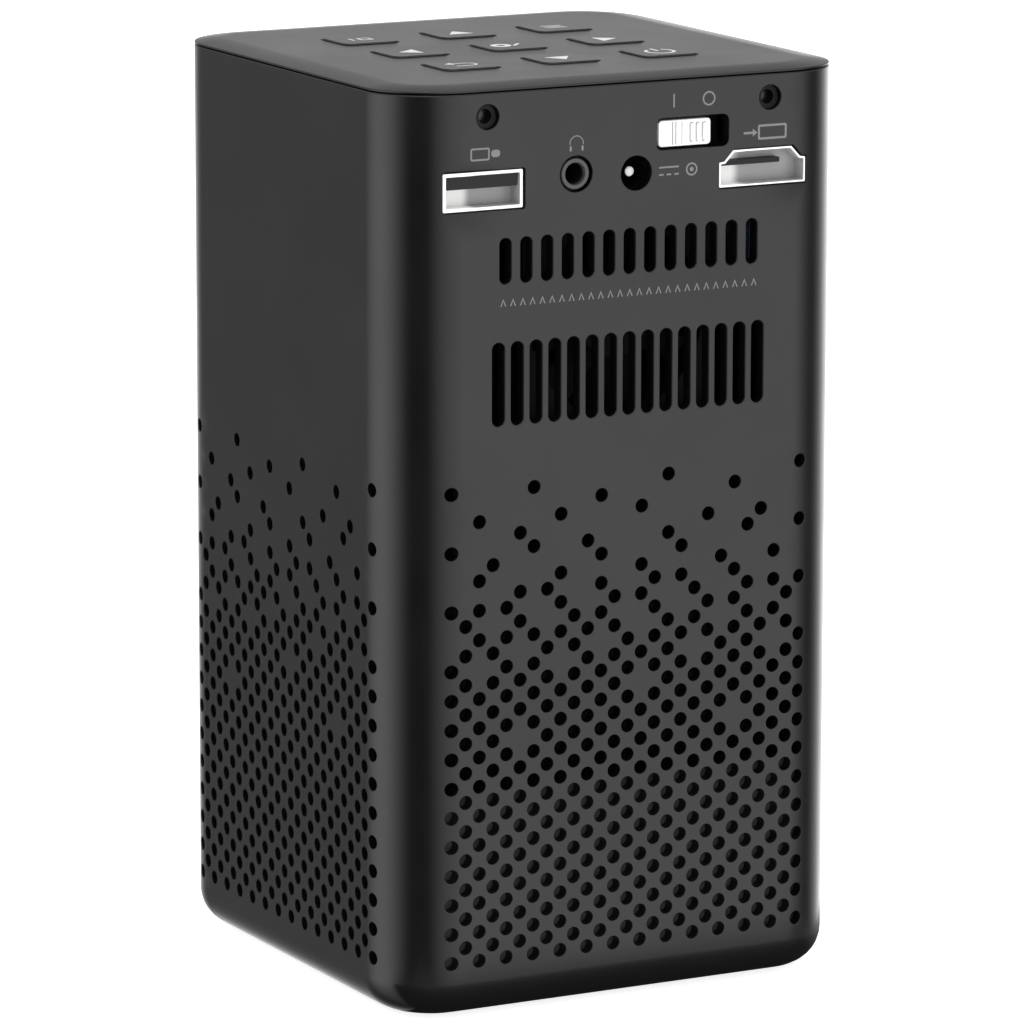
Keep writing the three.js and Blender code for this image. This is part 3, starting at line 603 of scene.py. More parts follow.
def cloth(name, colour, foot=None):
    """A fine plain weave, which may have another colour low down."""
    g = Graph(name)
    inputs = {"Vector": g.place, "Scale": 900.0, "Distortion": 0.4}
    threads = [g.add("ShaderNodeTexWave", inputs, bands_direction=way) for way in ("DIAGONAL", "Z")]
    weave = g.math("MULTIPLY", *(thread.outputs["Fac"] for thread in threads))
    g.bump(weave, 0.5, 0.0001)
    dyed = g.mix(weave, tinted(colour, 0.5), tinted(colour, 1.5))
    if foot:
        dyed = g.mix(g.eased(g.coordinate("Z"), *FOOT_CLOTH), tinted(foot, 1), dyed)
    return g.shade(Base_Color=dyed, Roughness=g.between(weave, 0.85, 0.98))


def ink(name, level):
    """Printed marks, a touch uneven where the ink thins."""
    g = Graph(name)
    patches = g.noise(1500, 3)
    g.colour(patches, tinted((level,) * 3, 0.85), tinted((level,) * 3, 1))
    return g.shade(Roughness=g.between(patches, 0.45, 0.6))


BRUSHED_Y = (1, 0.04, 1)
FINISHES = {
    "shell_plastic": plastic("shell_plastic", (0.0035, 0.0035, 0.0036), 0.245, bump=0.1, spread=0.03),
    "cap_plastic": plastic("cap_plastic", (0.0035, 0.0035, 0.0036), 0.25, bump=0.02, spread=0.02),
    "key_plastic": plastic("key_plastic", (0.0035, 0.0035, 0.0036), 0.25, bump=0.02, spread=0.02),
    "pad_rubber": rubber("pad_rubber", (0.012, 0.012, 0.013)),
    "insert_brass": metal("insert_brass", (0.6, 0.42, 0.18), 0.28),
    "screw_steel": metal("screw_steel", (0.55, 0.56, 0.58), 0.3),
    "screw_black": plastic("screw_black", (0.004, 0.004, 0.0041), 0.55, bump=0.2, shine=0.3),
    "circuit_board": board("circuit_board"),
    "port_metal": metal("port_metal", (0.86, 0.86, 0.87), 0.2, BRUSHED_Y),
    "black_plastic": plastic("black_plastic", (0.004, 0.004, 0.0042), 0.7, shine=0.25),
    "jack_plastic": plastic("jack_plastic", (0.065, 0.065, 0.067), 0.5),
    "knob_plastic": plastic("knob_plastic", (0.86, 0.86, 0.86), 0.45, bump=0.04, tone=0.03),
    "bezel_plastic": plastic("bezel_plastic", (0.009, 0.009, 0.01), 0.16, bump=0.02),
    "lens_glass": glass("lens_glass", (0.8, 0.85, 0.92)),
    "cast_alloy": metal("cast_alloy", (0.06, 0.06, 0.062), 0.6, bump=0.3),
    "sink_alloy": metal("sink_alloy", (0.015, 0.015, 0.016), 0.6, (1, 1, 0.05)),
    "copper_block": metal("copper_block", (0.72, 0.35, 0.2), 0.32),
    "wheel_rubber": rubber("wheel_rubber", (0.015, 0.015, 0.016)),
    "inner_plastic": plastic("inner_plastic", (0.012, 0.012, 0.0125), 0.7, shine=0.25),
    "ribbon_film": plastic("ribbon_film", (0.45, 0.2, 0.05), 0.3, bump=0.02),
    "cell_wrap": plastic("cell_wrap", (0.03, 0.16, 0.34), 0.3, bump=0.03),
    "speaker_steel": metal("speaker_steel", (0.03, 0.03, 0.032), 0.4),
    "speaker_paper": cloth("speaker_paper", (0.02, 0.02, 0.021)),
    "liner_cloth": cloth("liner_cloth", (0.013, 0.013, 0.013), (0.085, 0.085, 0.088)),
}
WHITE_INK = ink("white_ink", 0.85)
GREY_INK = ink("grey_ink", 0.19)
# The socket liners have a painted reflection, bright at one end and grey at the other.
DATA_LINING_PAINTED_REFLECTION = lining("data_lining", 27.0, 25.4)
VIDEO_LINING_PAINTED_REFLECTION = lining("video_lining", -18.8, -20.6)
TONGUE = plastic("tongue", (0.014, 0.014, 0.0145), 0.55, shine=0.3)
# The power pin's tip is painted white as a highlight.
PIN_TIP_PAINTED_HIGHLIGHT = plastic("pin_plate", (0.9, 0.9, 0.9), 0.35, bump=0.02)

# ---- shell ----


class Perimeter:
    """The object's plan outline at one corner radius, with its outward directions."""

    def __init__(self, radius):
        self.outline, self.ways = [], []
        for wall in WALLS:
            lean = math.asin((SPAN - CORE) / radius)
            for s in BEND_STATIONS:
                self.station(wall, math.copysign(CORE, s), math.asin(wall.over(s) / radius), radius)
            for angle in evenly(lean, math.pi / 2 - lean, CORNER_STEPS)[1:-1]:
                self.station(wall, CORE, angle, radius)
        self.wall_count = len(self.outline) // len(WALLS)

    def station(self, wall, s, lean, radius):
        way = wall.along * math.sin(lean) + wall.out * math.cos(lean)
        point = wall.along * s + wall.out * CORE + way * radius
        self.outline.append((point.x, point.y))
        self.ways.append(Vector((way.x, way.y)))

    def tube(self, skin, steps):
        tube(skin, PLAN, self.outline, steps, self.ways)

    def ring(self, grow, d, normal):
        return rings_of(PLAN, self.outline, [(grow, d, normal)], self.ways)[0]

    def grown(self, by):
        return [(s + way.x * by, t + way.y * by) for (s, t), way in zip(self.outline, self.ways)]

    def corners(self, skin, low, high, out=1):
        """The upright strips round the four corners, between the walls."""
        rings = [self.ring(0, d, Vector((out, 0))) for d in (low, high)[::out]]
        count = self.wall_count
        for wall in range(len(WALLS)):
            run = range(wall * count + len(BEND_STATIONS) - 1, (wall + 1) * count + 1)
            skin.strip(*([ring[i % len(ring)] for i in run] for ring in rings), closed=False)


OUTER = Perimeter(CORNER)
INNER = Perimeter(CORNER - WALL)


def quarter(radius, grow, d, start, steps):
    """A quarter turn of a path about (grow, d), anticlockwise from start degrees, with true normals."""
    turn = []
    for a in evenly(math.radians(start), math.radians(start + 90), steps):
        normal = Vector((math.cos(a), math.sin(a)))
        turn.append((grow + radius * normal.x, d + radius * normal.y, normal))
    return turn


def straight_hole(outline, edge=EDGE):
    return outline, [(0, HALF), (0, HALF - WALL)], edge


def stepped_hole(outline, seat, step, edge=EDGE):
    """A hole that narrows by a step at a depth."""
    return outline, [(0, HALF), (0, HALF - seat), (-step, HALF - seat), (-step, HALF - WALL)], edge


def sound_holes():
    """The staggered grid of fine holes, and the empty places in it."""
    made, empty = [], []
    for row in range(HOLE["rows"]):
        t = HOLE["lowest"] + (HOLE["rows"] - 1 - row) * HOLE["row"]
        columns = range(row % 2, HOLE["columns"], 2)
        for column, kind in zip(columns, FADE.get(row, "O" * HOLE["columns"])):
            s = (column - (HOLE["columns"] - 1) / 2) * HOLE["pitch"]
            if kind == "O":
                made.append(straight_hole(circle(s, t, HOLE["radius"], HOLE["sides"])))
            else:
                empty.append((s, t))
    return made, empty


def air_slots():
    slots = []
    for row in VENTS:
        middle, height = (row["low"] + row["high"]) / 2, row["high"] - row["low"]
        for s in evenly(-row["reach"], row["reach"], row["count"] - 1):
            outline = rounded_box(s, middle, row["width"], height, row["width"] / 2 - 0.01, 8)
            slots.append(straight_hole(outline, 0.25))
    return slots


def video_outline(grow, radius):
    """A flat-topped outline with a small shelf at each shoulder."""
    shelf = VIDEO["wide"] - VIDEO_SHELF["width"], VIDEO["shoulder"] + VIDEO_SHELF["rise"]
    right = [
        (VIDEO["wide"] + grow, VIDEO["low"] - grow),
        (VIDEO["wide"] + grow, VIDEO["shoulder"] + 0.9 * grow),
        (shelf[0] + 0.6 * grow, shelf[1] + grow),
        (VIDEO["narrow"] + 0.6 * grow, VIDEO["high"] + grow),
    ]
    corners = right + [(-s, t) for s, t in reversed(right)]
    return [(s - VIDEO["x"], t) for s, t in rounded(corners, radius)]


def node_frame(node):
    """The middle (s, t) and the size of a CAD node as seen from the back."""
    low, high = box_mm(node)
    return -(low.x + high.x) / 2, (low.z + high.z) / 2, high.x - low.x, high.z - low.z


def node_outline(node, radius, grow=0):
    """The rounded rectangle round a CAD node as seen from the back."""
    s, t, width, height = node_frame(node)
    return rounded_box(s, t, width + 2 * grow, height + 2 * grow, radius)


def switch_window():
    width, height = SWITCH["x1"] - SWITCH["x0"], SWITCH["z1"] - SWITCH["z0"]
    s, t = -(SWITCH["x0"] + SWITCH["x1"]) / 2, (SWITCH["z0"] + SWITCH["z1"]) / 2
    return rounded_box(s, t, width, height, SWITCH["corner"])


def socket_openings():
    plain = [
        node_outline("data_port", SOCKET["corner"], SOCKET["gap"]),
        video_outline(SOCKET["gap"], SOCKET["corner"]),
        circle(-AUDIO["x"], AUDIO["z"], AUDIO["opening"]),
        circle(-POWER["x"], POWER["z"], POWER["hole"]),
        switch_window(),
    ]
    recesses = [circle(s, SCREW["z"], SCREW["recess"]) for s in (-SCREW["x"], SCREW["x"])]
    screws = [stepped_hole(recess, SCREW["depth"], SCREW["recess"] - SCREW["bore"]) for recess in recesses]
    return [*screws, *(straight_hole(outline) for outline in plain)]


def lens_opening():
    outline = circle(0, LENS_Z, BEZEL["flange"] + 0.3, 96)
    return stepped_hole(outline, BEZEL["depth"], BEZEL["flange"] - BEZEL["sleeve"], 0.2)


def bar(s, t, width, height, turn=0):
    return moved(rounded_box(0, 0, width, height, 0.45 * min(width, height), 3), s, t, turn)


def hoop(s, t, radius, line, start, end, steps=20):
    """A line round part of a circle, as one loop."""
    outside = arc(s, t, radius, start, end, steps)
    return outside + arc(s, t, radius - line, end, start, steps)


def ring_mark(s, t, radius, hole):
    """A ring, as a loop in a loop."""
    return [circle(s, t, radius, 24), circle(s, t, hole, 24)]


def frame_mark(s, t, width, height, line):
    """A rectangular frame, as a loop in a loop."""
    return [
        rounded_box(s, t, width, height, 0.3, 3),
        rounded_box(s, t, width - 2 * line, height - 2 * line, 0.12, 2),
    ]


def chevron(s):
    """A small upward arrow head."""
    half, line = ARROWS["half"], ARROWS["line"]
    low, high = ARROWS["z"] - ARROWS["height"] / 2, ARROWS["z"] + ARROWS["height"] / 2
    notch = high - 1.6 * line
    corners = ((-half, low), (line - half, low), (0, notch), (half - line, low), (half, low), (0, high))
    return [(s + x, t) for x, t in corners]


def placed(marks, s, t):
    """Marks drawn about the origin, with their middle moved to (s, t)."""
    return [[moved(loop, s, t) for loop in mark] for mark in marks]


def back_marks():
    """Plain pictograms beside the sockets and the switch, and a row of arrow heads under the upper vents."""
    drawings = {
        "on": [[bar(0, 0, LINE, 2.1)]],
        "off": [ring_mark(0, 0, 1.1, 1.1 - LINE)],
        "drive": [frame_mark(0, 0, 3.2, 1.9, LINE), [bar(2.6, 0, 1.5, 1.1)]],
        "screen": [
            frame_mark(0, 0, 5.0, 2.3, THICK_LINE),
            [bar(-4.1, 0, 1.8, THICK_LINE)],
            [[(-3.4, -0.6), (-2.6, 0), (-3.4, 0.6)]],
        ],
        "supply": [
            [bar(0, 0.55, 3.4, LINE)],
            *([bar(s, -0.55, 0.8, LINE)] for s in (-1.3, 0, 1.3)),
            ring_mark(3.9, 0, 1, 1 - LINE),
            [circle(3.9, 0, 0.35, 12)],
        ],
        "phones": [
            [hoop(0, 0, 1.2, 0.15, -10, 190)],
            *([bar(s, -0.75, THICK_LINE, 0.8)] for s in (-1, 1)),
        ],
    }
    marks = []
    for name, (s, t) in MARKS.items():
        marks += placed(drawings[name], s, t)
    return marks + [[chevron(s)] for s in evenly(-ARROWS["reach"], ARROWS["reach"], ARROWS["count"] - 1)]


def wall_sheets(skin, wall, openings, marks=(), extra=(), surface_loops=(), inside_loops=()):
    """One wall's outer and inner surface, with its openings cut through both."""
    outer_loops, inner_loops = list(surface_loops), list(inside_loops)
    for outline, path, edge in openings:
        outside, inside = opening(skin, wall, outline, path, edge)
        outer_loops.append(outside)
        inner_loops.append(inside)

    def border(low, high):
        return [(s, low) for s in BEND_STATIONS] + [(s, high) for s in reversed(BEND_STATIONS)]

    flat(skin, wall, HALF, border(BASE_FILLET, SHELL_TOP - TOP_EDGE), outer_loops, marks, extra)
    flat(skin, wall, HALF - WALL, border(FLOOR + INNER_FILLET, SHELL_TOP), inner_loops, out=-1)


def bowl(s, t):
    """Distance out and normal of the thumb dish's surface."""
    radius = DISH["radius"]
    away = Vector((s - DISH["s"], t - DISH["z"]))
    centre = HALF - DISH["depth"] + radius
    drop = math.sqrt(radius * radius - away.length_squared)
    return centre - drop, RIGHT_WALL.turn(-away.x / radius, -away.y / radius, drop / radius)


def thumb_dish(skin):
    """A shallow bowl with a slot for the focus wheel. Returns its outlines outside and inside the wall."""
    wall, s0, t0 = RIGHT_WALL, DISH["s"], DISH["z"]
    meet = math.sqrt(DISH["radius"] ** 2 - (DISH["radius"] - DISH["depth"]) ** 2)
    outside, lip = (circle(s0, t0, meet + by, 64) for by in (DISH["brow"], -DISH["brow"]))

    def on_bowl(s, t):
        d, normal = bowl(s, t)
        return wall.at(s, t, d), normal

    skin.strip([(wall.at(s, t, HALF), wall.out) for s, t in outside], [on_bowl(s, t) for s, t in lip])
    slot = rounded_box(s0, t0, DISH_SLOT["width"], DISH_SLOT["height"], DISH_SLOT["corner"], 6)
    brink = grown(slot, EDGE)
    reach = DISH_GRID["reach"]
    steps = [DISH_GRID["step"] * i for i in range(-reach, reach + 1)]
    clear = DISH_SLOT["height"] / 2 + DISH_GRID["slot_margin"]
    grid = [(x, y) for x in steps for y in steps if math.hypot(x, y) < meet - DISH_GRID["margin"]]
    points = [(s0 + x, t0 + y) for x, y in grid if abs(y) > clear]
    for corners, _ in sheet(lip, [brink], extra=points):
        skin.face([on_bowl(s, t) for s, t in corners])
    sides = [(s, t, wall.turn(-way.x, -way.y, 0)) for (s, t), way in zip(slot, outward(slot))]
    upper = [(wall.at(s, t, bowl(s, t)[0] - EDGE), normal) for s, t, normal in sides]
    skin.strip([on_bowl(s, t) for s, t in brink], upper)
    skin.strip(upper, [(wall.at(s, t, DISH["back"]), normal) for s, t, normal in sides])
    block = rounded_box(s0, t0, DISH["block"], DISH["block"], 1)
    straight(skin, wall, block, DISH["back"], HALF - WALL)
    flat(skin, wall, DISH["back"], block, [slot], out=-1)
    return outside, block


def underside(skin):
    """The shell's floor: a recess for the base plate and the pad, round an opening."""
    recess = rounded_box(0, 0, 2 * RECESS["half"], 2 * RECESS["half"], RECESS["corner"], 8)
    lip = rounded_box(0, 0, 2 * LIP["half"], 2 * LIP["half"], LIP["corner"], 6)
    straight(skin, PLAN, recess, RECESS["depth"], 0, -1)
    straight(skin, PLAN, lip, FLOOR, RECESS["depth"], -1)
    flat(skin, PLAN, 0, OUTER.grown(-BASE_FILLET), [recess], out=-1)
    flat(skin, PLAN, RECESS["depth"], recess, [lip], out=-1)
    flat(skin, PLAN, FLOOR, INNER.grown(-INNER_FILLET), [lip])


def body_shell():
    skin = Skin()
    OUTER.tube(skin, quarter(BASE_FILLET, -BASE_FILLET, BASE_FILLET, -90, 8))
    OUTER.corners(skin, BASE_FILLET, SHELL_TOP - TOP_EDGE)
    OUTER.tube(skin, quarter(TOP_EDGE, -TOP_EDGE, SHELL_TOP - TOP_EDGE, 0, 3))
    level = Vector((0, 1))
    skin.strip(OUTER.ring(-TOP_EDGE, SHELL_TOP, level), INNER.ring(0, SHELL_TOP, level))
    INNER.corners(skin, FLOOR + INNER_FILLET, SHELL_TOP, out=-1)
    bottom = [(g, d, -n) for g, d, n in quarter(INNER_FILLET, -INNER_FILLET, FLOOR + INNER_FILLET, -90, 5)]
    INNER.tube(skin, bottom[::-1])
    underside(skin)
    holes, empty = sound_holes()
    points = empty + [(side * s, t) for side in (-1, 1) for s in (CORE, CORE + BEND) for t in BEND_ROWS]
    wall_sheets(skin, LEFT_WALL, holes, extra=points)
    wall_sheets(skin, BACK_WALL, [*holes, *air_slots(), *socket_openings()], back_marks(), points)
    dish_out, dish_in = thumb_dish(skin)
    wall_sheets(skin, RIGHT_WALL, holes, (), points, [dish_out], [dish_in])
    wall_sheets(skin, FRONT_WALL, [*holes, lens_opening()], extra=points)
    skin.piece("shell", "body_shell", "shell_plastic", [GREY_INK])


# ---- lid and keys ----


def key_middle(node):
    low, high = box_mm(node)
    return (low.x + high.x) / 2, (low.y + high.y) / 2


def lid():
    """A slightly crowned cover with a skirt that drops inside the shell."""
    skin = Skin()
    width, radius = LID_BORDER["width"], LID_BORDER["radius"]
    edge_drop = width * width / (2 * radius)
    profile = [
        (SKIRT["inside"], LID_UNDERSIDE),
        (SKIRT["inside"], SKIRT["bottom"]),
        (SKIRT["outside"], SKIRT["bottom"]),
        (SKIRT["outside"], LID_RIM),
        (0, LID_RIM),
        (0, LID_TOP - edge_drop - 0.1),
    ]
    crown = []
    for inset in LID_BORDER["rings"]:
        short = width - inset
        lean = LID_BORDER["lean"] * (short / width) ** LID_BORDER["onset"]
        crown.append((-inset, LID_TOP - short * short / (2 * radius), Vector((lean, 1)).normalized()))
    OUTER.tube(skin, softened(profile, LID_EDGE) + crown)
    above, below = [], []
    size = KEY["size"] + 2 * KEY["gap"]
    for name in KEY_NODES:
        hole = rounded_box(*key_middle(name), size, size, KEY["corner"] + KEY["gap"], 6)
        top, under = opening(skin, PLAN, hole, [(0, LID_TOP), (0, LID_UNDERSIDE)], KEY["hole_edge"])
        above.append(top)
        below.append(under)
    flat(skin, PLAN, LID_TOP, OUTER.grown(-width), above)
    flat(skin, PLAN, LID_UNDERSIDE, OUTER.grown(SKIRT["inside"]), below, out=-1)
    skin.piece("lid", "top_cap", "cap_plastic")


def pointer(turn):
    """A solid triangle that points along +X before it is turned."""
    return [[moved([(-1.35, -2.1), (1.9, 0), (-1.35, 2.1)], 0, 0, turn)]]


KEY_MARKS = {
    "key_up": pointer(-90),
    "key_down": pointer(90),
    "key_left": pointer(0),
    "key_right": pointer(180),
    "key_power": [[hoop(-0.2, 0.1, 2.45, 0.5, -60, 240, 28)], [bar(-0.2, -1.8, 0.5, 2.6)]],
    "key_return": [
        [[(2.3, -1.1), (0.9, -0.2), (0.9, -2.0)]],
        [bar(-0.1, -1.1, 2.4, 0.36)],
        [hoop(-1.1, 0.2, 1.48, 0.36, 90, 270, 14)],
        [bar(0.1, 1.5, 2.8, 0.36)],
    ],
    "key_select": [ring_mark(1.25, -0.1, 1.65, 0.7), [bar(-1.45, -0.2, 0.5, 2.8, -42)]],
    "key_source": [frame_mark(-0.75, 0.1, 2.2, 2.2, 0.36), [bar(1.55, 0.1, 0.36, 2.2)]],
    "key_menu": [[bar(0, t, 3.6, 0.34)] for t in (-1.1, 0, 1.1)],
}


def key(name):
    """A square key with a flange under the lid, a stem, and its mark let into the face."""
    skin = Skin()
    x, y = key_middle(name)
    low, high = box_mm(name)
    cap = rounded_box(x, y, KEY["size"], KEY["size"], KEY["corner"], 6)
    flange = (KEY_FLANGE["size"] - KEY["size"]) / 2
    path = [(flange, KEY_FLANGE["bottom"]), (flange, KEY_FLANGE["top"]), (0, KEY_FLANGE["top"]), (0, high.z)]
    steps = softened([*path, (-1, high.z)], KEY["edge"])[:-1]
    tube(skin, PLAN, cap, steps)
    flat(skin, PLAN, high.z, grown(cap, steps[-1][0]), marks=placed(KEY_MARKS[name], x, y))
    stem = rounded_box(x, y, KEY["stem"], KEY["stem"], 0.5)
    flat(skin, PLAN, KEY_FLANGE["bottom"], grown(cap, flange), [stem], out=-1)
    loft(skin, PLAN, stem, [(0, low.z), (0, KEY_FLANGE["bottom"])], caps=(True, False))
    body = name.replace("key_", "") + "_button"
    skin.piece(name.replace("key", "button"), name, "key_plastic", [WHITE_INK], body)


def lid_screw(node):
    """A black screw with a deep socket, sunk into the back wall."""
    skin = Skin()
    s, t, _, _ = node_frame(node)
    back = box_mm(node)[0].y
    face, under, deep = (HALF - SCREW_HEAD[depth] for depth in ("face", "under", "deep"))
    head, shank, socket = (SCREW_HEAD[radius] for radius in ("radius", "shank", "socket"))
    path = [(0, back), (shank, back), (shank, under), (head, under), (head, face), (socket, face)]
    turned(skin, BACK, s, t, [*path, (socket - 0.03, deep), (0, deep)])
    skin.piece(node.replace("lid", "cover"), node, "screw_black")


# ---- sockets and switch ----


def cup(skin, face, outside, inside, back, front, floor, edge=EDGE, lining=0):
    """A thick-walled cup that opens outwards, with its inside in the lining's material slot."""
    brow = block_side(skin, face, outside, back, front, edge)
    mouth, end = opening(skin, face, inside, [(0, front), (0, floor)], edge, lining)
    flat(skin, face, front, brow, [mouth])
    flat(skin, face, floor, end, slot=lining)


def metal_socket(name, node, outside, inside, liner):
    """A folded metal socket whose liner has a painted reflection, bright at one end."""
    skin = Skin()
    low, high = box_mm(node)
    front = high.y - SOCKET["inset"]
    cup(skin, BACK, outside, inside, low.y, front, front - SOCKET["depth"], SOCKET["edge"], 1)
    skin.piece(name, node, "port_metal", [liner])


def socket_tongue(name, node, shape):
    """The plastic tongue of a socket with its contacts on the lower side."""
    skin = Skin()
    (s, t), (width, height), front, line = (shape[key] for key in ("place", "size", "front", "contact"))
    loft(skin, BACK, rounded_box(s, t, width, height, 0.15), [(0, box_mm(node)[0].y), (0, front)], 0.1)
    reach = width / 2 - 2 * line
    for at in evenly(s - reach, s + reach, shape["contacts"] - 1):
        strip = rounded_box(at, t - height / 2 + 0.04, line, 0.2, 0.05, 2)
        loft(skin, BACK, strip, [(0, front - SOCKET["depth"]), (0, front - 0.4)], 0.04, slot=1)
    skin.piece(name, node, "black_plastic", [FINISHES["insert_brass"]], finish=TONGUE)


def data_socket():
    outside = node_outline("data_port", DATA_SHEET["corner"])
    inside = node_outline("data_port", SOCKET["inner_corner"], -DATA_SHEET["wall"])
    metal_socket("data_socket", "data_port", outside, inside, DATA_LINING_PAINTED_REFLECTION)
    socket_tongue("data_tongue", "data_port_tongue", DATA_TONGUE)


def video_socket():
    outside = video_outline(0, VIDEO_SHEET["corner"])
    inside = video_outline(-VIDEO_SHEET["wall"], SOCKET["inner_corner"])
    metal_socket("video_socket", "video_port", outside, inside, VIDEO_LINING_PAINTED_REFLECTION)
    socket_tongue("video_tongue", "video_port_tongue", VIDEO_TONGUE)


def audio_socket():
    """A block with a collar round a stepped bore, darker past the step."""
    skin = Skin()
    low, high = box_mm("audio_jack")
    s, t, collar, hole, block = (AUDIO[key] for key in ("x", "z", "ring", "hole", "block"))
    s, ledge, floor = -s, high.y - AUDIO_LEDGE["depth"], low.y + JACK["floor"]
    narrow = hole - AUDIO_LEDGE["width"]
    front = block_side(skin, BACK, node_outline("audio_jack", JACK["corner"]), low.y, block)
    flat(skin, BACK, block, front, [circle(s, t, collar, JACK["sides"])])
    turned(skin, BACK, s, t, [(collar, block), (collar, high.y), (hole, high.y), (hole, ledge)], edge=0.15)
    turned(skin, BACK, s, t, [(hole, ledge), (narrow, ledge), (narrow, floor)], edge=0.05, slot=1)
    flat(skin, BACK, floor, circle(s, t, narrow, JACK["sides"]), slot=1)
    skin.piece("audio_socket", "audio_jack", "jack_plastic", [FINISHES["black_plastic"]])


def power_socket():
    skin = Skin()
    low, high = box_mm("power_jack")
    body = node_outline("power_jack", JACK["corner"])
    loft(skin, BACK, body, [(0, low.y), (0, high.y)], caps=(True, False))
    mouth, floor = circle(-POWER["x"], POWER["z"], POWER["bore"], JACK["sides"]), low.y + JACK["floor"]
    straight(skin, BACK, mouth, high.y, floor, -1)
    flat(skin, BACK, high.y, grown(body, -EDGE), [mouth])
    flat(skin, BACK, floor, mouth)
    skin.piece("power_socket", "power_jack", "black_plastic")


def power_pin():
    """A dark pin whose domed tip is painted white as a highlight."""
    skin = Skin()
    s, t, radius = -POWER["x"], POWER["z"], POWER["pin"]
    tip, back = HALF - POWER["tip"], box_mm("power_jack_pin")[0].y
    nose = [(radius * math.cos(a), tip + 0.4 * radius * (math.sin(a) - 1)) for a in evenly(0, math.pi / 2, 5)]
    turned(skin, BACK, s, t, nose, 24, 0.05)
    turned(skin, BACK, s, t, [(0, back), (radius, back), nose[0]], 24, 0.05, 1)
    # the domed tip takes the painted highlight, the shaft the black plastic
    skin.piece("power_pin", "power_jack_pin", "port_metal", [FINISHES["black_plastic"]], finish=PIN_TIP_PAINTED_HIGHLIGHT)


def switch_knob():
    """The white slider: grooves across it, then three ribs for a fingertip."""
    skin = Skin()
    low, high = box_mm("switch_knob")
    s, t, _, height = node_frame("switch_knob")
    face, back, rib = KNOB["face"], KNOB["back"], KNOB_RIB
    front = block_side(skin, BACK, node_outline("switch_knob", KNOB["corner"]), back, face, 0.15)
    mouths = []
    for at, line, deep in KNOB_GROOVES:
        groove = bar(at - high.x, t, line, height - 0.5)
        mouth, end = opening(skin, BACK, groove, [(0, face), (0, face - deep)], 0.05)
        mouths.append(mouth)
        flat(skin, BACK, face - deep, end)
    for at in rib["places"]:
        ridge, root = bar(at - high.x, t, *rib["size"]), face - rib["root"]
        mouth, end = opening(skin, BACK, grown(ridge, rib["moat"]), [(0, face), (0, root)], 0.03)
        mouths.append(mouth)
        flat(skin, BACK, root, end, [ridge])
        loft(skin, BACK, ridge, [(0, root), (0, face + rib["rise"])], caps=(False, True))
    flat(skin, BACK, face, front, mouths)
    loft(skin, BACK, rounded_box(s, t, *KNOB["stem"], 0.2), [(0, low.y), (0, back + 0.1)])
    skin.piece("slider", "switch_knob", "knob_plastic", body="power_slider")


# ---- optics ----


def lens_bezel():
    skin = Skin()
    low, high = box_mm("lens_bezel")
    front, rear = -low.y, -high.y
    under, seat = front - BEZEL["plate"], rear + BEZEL_LEDGE["depth"]
    bore, sleeve, flange = BEZEL["bore"], BEZEL["sleeve"], BEZEL["flange"]
    ledge = bore - BEZEL_LEDGE["width"]
    path = [
        (bore, seat),
        (ledge, seat),
        (ledge, rear),
        (sleeve, rear),
        (sleeve, under),
        (flange, under),
        (flange, front),
        (bore + BEZEL_FLARE["width"], front),
        (bore, front - BEZEL_FLARE["depth"]),
        (bore, seat),
    ]
    turned(skin, FRONT, 0, LENS_Z, path, 96, 0.25)
    skin.piece("bezel", "lens_bezel", "bezel_plastic")


def window():
    skin = Skin()
    low, high = box_mm("lens_window")
    radius = (high.x - low.x) / 2
    turned(skin, FRONT, 0, LENS_Z, [(0, -high.y), (radius, -high.y), (radius, -low.y), (0, -low.y)], 96)
    skin.piece("window", "lens_window", "lens_glass")


def front_lens():
    skin = Skin()
    low, high = box_mm("front_lens")
    radius = (high.x - low.x) / 2
    sphere = (radius * radius + LENS_BULGE * LENS_BULGE) / (2 * LENS_BULGE)
    dome = [(r, -low.y - sphere + math.sqrt(sphere * sphere - r * r)) for r in evenly(radius, 0, 12)]
    turned(skin, FRONT, 0, LENS_Z, [(0, -high.y), (radius, -high.y), *dome], 96)
    skin.piece("objective", "front_lens", "lens_glass", body="focus_group")


def focus_wheel():
    """A ribbed thumb wheel with a roller above it."""
    skin = Skin()
    low, high = box_mm("focus_wheel")
    x, y = (low.x + high.x) / 2, (low.y + high.y) / 2
    radius, top = (high.x - low.x) / 2, low.z + WHEEL["thickness"]
    bore, roller = WHEEL["bore"], WHEEL["roller"]
    rim = []
    for i in range(WHEEL["ribs"]):
        for part, depth in WHEEL_RIB:
            a = 2 * math.pi * (i + part) / WHEEL["ribs"]
            rim.append((x + (radius - depth) * math.cos(a), y + (radius - depth) * math.sin(a)))
    side = slab_side(skin, PLAN, rim, low.z, top, 0.5)
    flat(skin, PLAN, low.z, side, [circle(x, y, bore)], out=-1)
    flat(skin, PLAN, top, side, [circle(x, y, roller)])
    turned(skin, PLAN, x, y, [(roller, top), (roller, high.z), (bore, high.z), (bore, low.z)], 32)
    skin.piece("thumb_ring", "focus_wheel", "wheel_rubber", body="thumb_wheel")


# ---- base ----


